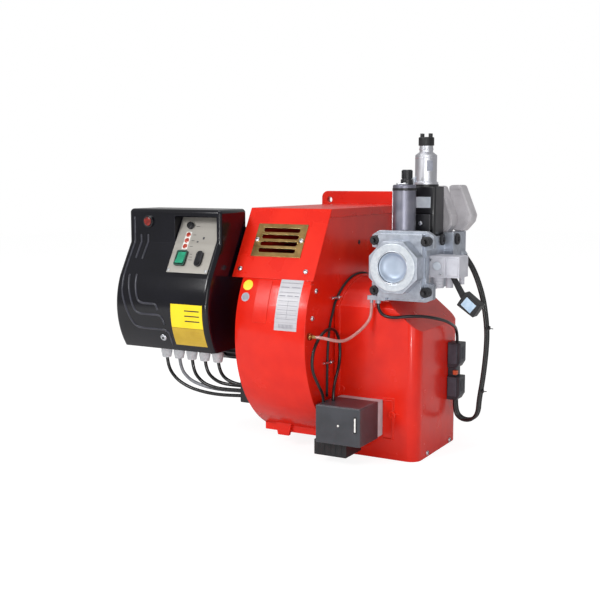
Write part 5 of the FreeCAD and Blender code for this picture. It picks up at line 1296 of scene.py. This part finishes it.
# Silicone rubber: matt orange.
orange_seal = finish("orange_silicone", ("#c4502a", "#d7603a"), 6, (0.4, 0.52), (0.6, 0.01))
paint(connector_grey, "plug_connectors")
round_edges("plug_connectors", 1.6, 3)
plate("connector_seal", (276, -211, -236), (9, 10, 9), orange_seal, 1.5)
for name, low in (("upper", -206), ("lower", -272)):
    plate(f"connector_{name}_face", (265.5, -210.2, low - 8), (18, 1.4, 38), connector_face, 0.6)
    for index in range(3):
        corner = (290.6, -205 + 8 * index, low + 1)
        plate(f"connector_{name}_rib_{index}", corner, (1.2, 4, 24), connector_grey)


# Cables and the pressure hose.  Each is a smooth line along its route's points: rubber
# sheathed cable in black, one grey PVC cable, and a clear hose pushed over a brass nipple.

# Rubber sheath: black with a soft line of light along it.
rubber_cable = finish(
    "black_rubber_sheath", ("#0a0a0c", "#111113"), 10, (0.26, 0.36), (0.9, 0.02),
    coat_weight=0.15,
)
# PVC sheath: flat mid grey.
grey_cable = finish("grey_pvc_sheath", ("#7d7f85", "#8e9096"), 10, (0.36, 0.48), (0.9, 0.02))
# Clear PVC; its pink colour is painted, standing in for the red casting seen through it.
hose_with_painted_red = finish(
    "clear_pvc_hose_painted_red", ("#d69a94", "#e2aca6"), 8, (0.12, 0.22), (0.8, 0.006), coat_weight=0.4,
    transmission_weight=0.45,
)


def cable(name, route, thick, material, node):
    """A free cable from its route's points in metres; it starts where it leaves the object."""
    line = bpy.data.curves.new(name, "CURVE")
    line.dimensions = "3D"
    line.resolution_u = 14
    line.bevel_depth = thick / 2
    line.bevel_resolution = 5
    line.use_fill_caps = True
    spline = line.splines.new("NURBS")
    spline.points.add(len(route) - 1)
    for point, place in zip(spline.points, route):
        point.co = (*place, 1)
    spline.order_u = 3
    spline.use_endpoint_u = True
    made = piece(name, line, material)
    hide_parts(node)


CONTROL_CABLE = 0.007
LEAD = 0.006
cable("gland_cable_0", [
    (-0.150, -0.415, -0.198), (-0.150, -0.415, -0.231), (-0.124, -0.415, -0.256),
    (-0.0903, -0.415, -0.257),
], CONTROL_CABLE, rubber_cable, "control_cables")
cable("gland_cable_1", [
    (-0.182, -0.415, -0.198), (-0.182, -0.415, -0.234), (-0.158, -0.410, -0.258),
    (-0.124, -0.405, -0.263), (-0.0903, -0.404, -0.261),
], CONTROL_CABLE, rubber_cable, "control_cables")
cable("gland_cable_2", [
    (-0.214, -0.415, -0.198), (-0.214, -0.415, -0.236), (-0.190, -0.415, -0.262),
    (-0.157, -0.415, -0.270), (-0.124, -0.415, -0.270), (-0.0903, -0.415, -0.268),
], CONTROL_CABLE, rubber_cable, "control_cables")
cable("gland_cable_3", [
    (-0.246, -0.415, -0.198), (-0.246, -0.415, -0.234), (-0.224, -0.411, -0.261),
    (-0.190, -0.405, -0.272), (-0.157, -0.404, -0.275), (-0.124, -0.404, -0.274),
    (-0.0903, -0.404, -0.272),
], CONTROL_CABLE, grey_cable, "control_cables")
cable("gland_cable_4", [
    (-0.278, -0.415, -0.198), (-0.278, -0.415, -0.232), (-0.257, -0.415, -0.260),
    (-0.224, -0.415, -0.275), (-0.190, -0.415, -0.281), (-0.157, -0.415, -0.283),
    (-0.124, -0.415, -0.282), (-0.0903, -0.415, -0.279),
], CONTROL_CABLE, rubber_cable, "control_cables")

BUNDLE_LINE = [
    (0.2904, 0.0023), (0.3003, -0.0103), (0.311, -0.028), (0.321, -0.052), (0.330, -0.080),
    (0.336, -0.112), (0.340, -0.148), (0.339, -0.184), (0.336, -0.219), (0.332, -0.252),
    (0.327, -0.284), (0.325, -0.314), (0.311, -0.328), (0.291, -0.328), (0.277, -0.314),
    (0.277, -0.288),
]
for index, depth in enumerate((-0.200, -0.188)):
    cable(
        f"bundle_cable_{index}", [(x, depth, z) for x, z in BUNDLE_LINE], CONTROL_CABLE,
        rubber_cable, "valve_cables",
    )
cable("connector_lead", [
    (0.184, -0.368, -0.080), (0.184, -0.368, -0.091), (0.195, -0.370, -0.103),
    (0.216, -0.370, -0.106), (0.242, -0.361, -0.102), (0.264, -0.341, -0.103),
    (0.279, -0.313, -0.109), (0.287, -0.284, -0.117), (0.288, -0.254, -0.127),
    (0.284, -0.224, -0.136), (0.279, -0.202, -0.146), (0.278, -0.193, -0.160),
    (0.278, -0.193, -0.172),
], LEAD, rubber_cable, "connector_cable")
cable("servo_lead", [
    (0.106, -0.441, -0.265), (0.106, -0.441, -0.251), (0.103, -0.457, -0.229),
    (0.098, -0.473, -0.198), (0.098, -0.469, -0.166), (0.100, -0.448, -0.141),
    (0.103, -0.419, -0.128), (0.105, -0.391, -0.133), (0.105, -0.374, -0.155),
    (0.105, -0.370, -0.183), (0.106, -0.379, -0.210), (0.111, -0.403, -0.230),
    (0.116, -0.420, -0.248), (0.116, -0.420, -0.265),
], LEAD, rubber_cable, "servo_cable")
cable("pressure_hose", [
    (0.1035, -0.466, -0.138), (0.116, -0.466, -0.138), (0.127, -0.459, -0.141),
    (0.136, -0.445, -0.146), (0.143, -0.420, -0.148), (0.155, -0.386, -0.133),
    (0.167, -0.371, -0.114), (0.170, -0.368, -0.098), (0.170, -0.368, -0.080),
], LEAD, hose_with_painted_red, "signal_hose")


# Two moulded nylon ties hold the bundle of cables together: a flattened band, its locking head
# and the cut tail, which stands off to the right.

BUNDLE_DEPTH = -194
for index, (x, z, lean) in enumerate(((340.6, -137.9, 4), (330.2, -266.4, -6))):
    band = turned(
        [(9.4, 0), (10.6, 0.3), (10.6, 3.4), (9.4, 3.7)], (0, 0, -1.85), (0, 0, 1), 32,
        ends="open",
    )
    bmesh.ops.scale(band, vec=(0.5, 1, 1), verts=band.verts)
    head = bar((4.2, -9, -2.4), (3.6, 4.4, 4.8))
    tail = bar((6, -7.6, -0.8), (8, 1.6, 1.6))
    turn = Matrix.Rotation(math.radians(lean), 4, "Y")
    tie = moved(join([band, head, tail]), Matrix.Translation((x, BUNDLE_DEPTH, z)) @ turn)
    fit(f"bundle_tie_{index}", tie, moulded_black, 0.3)
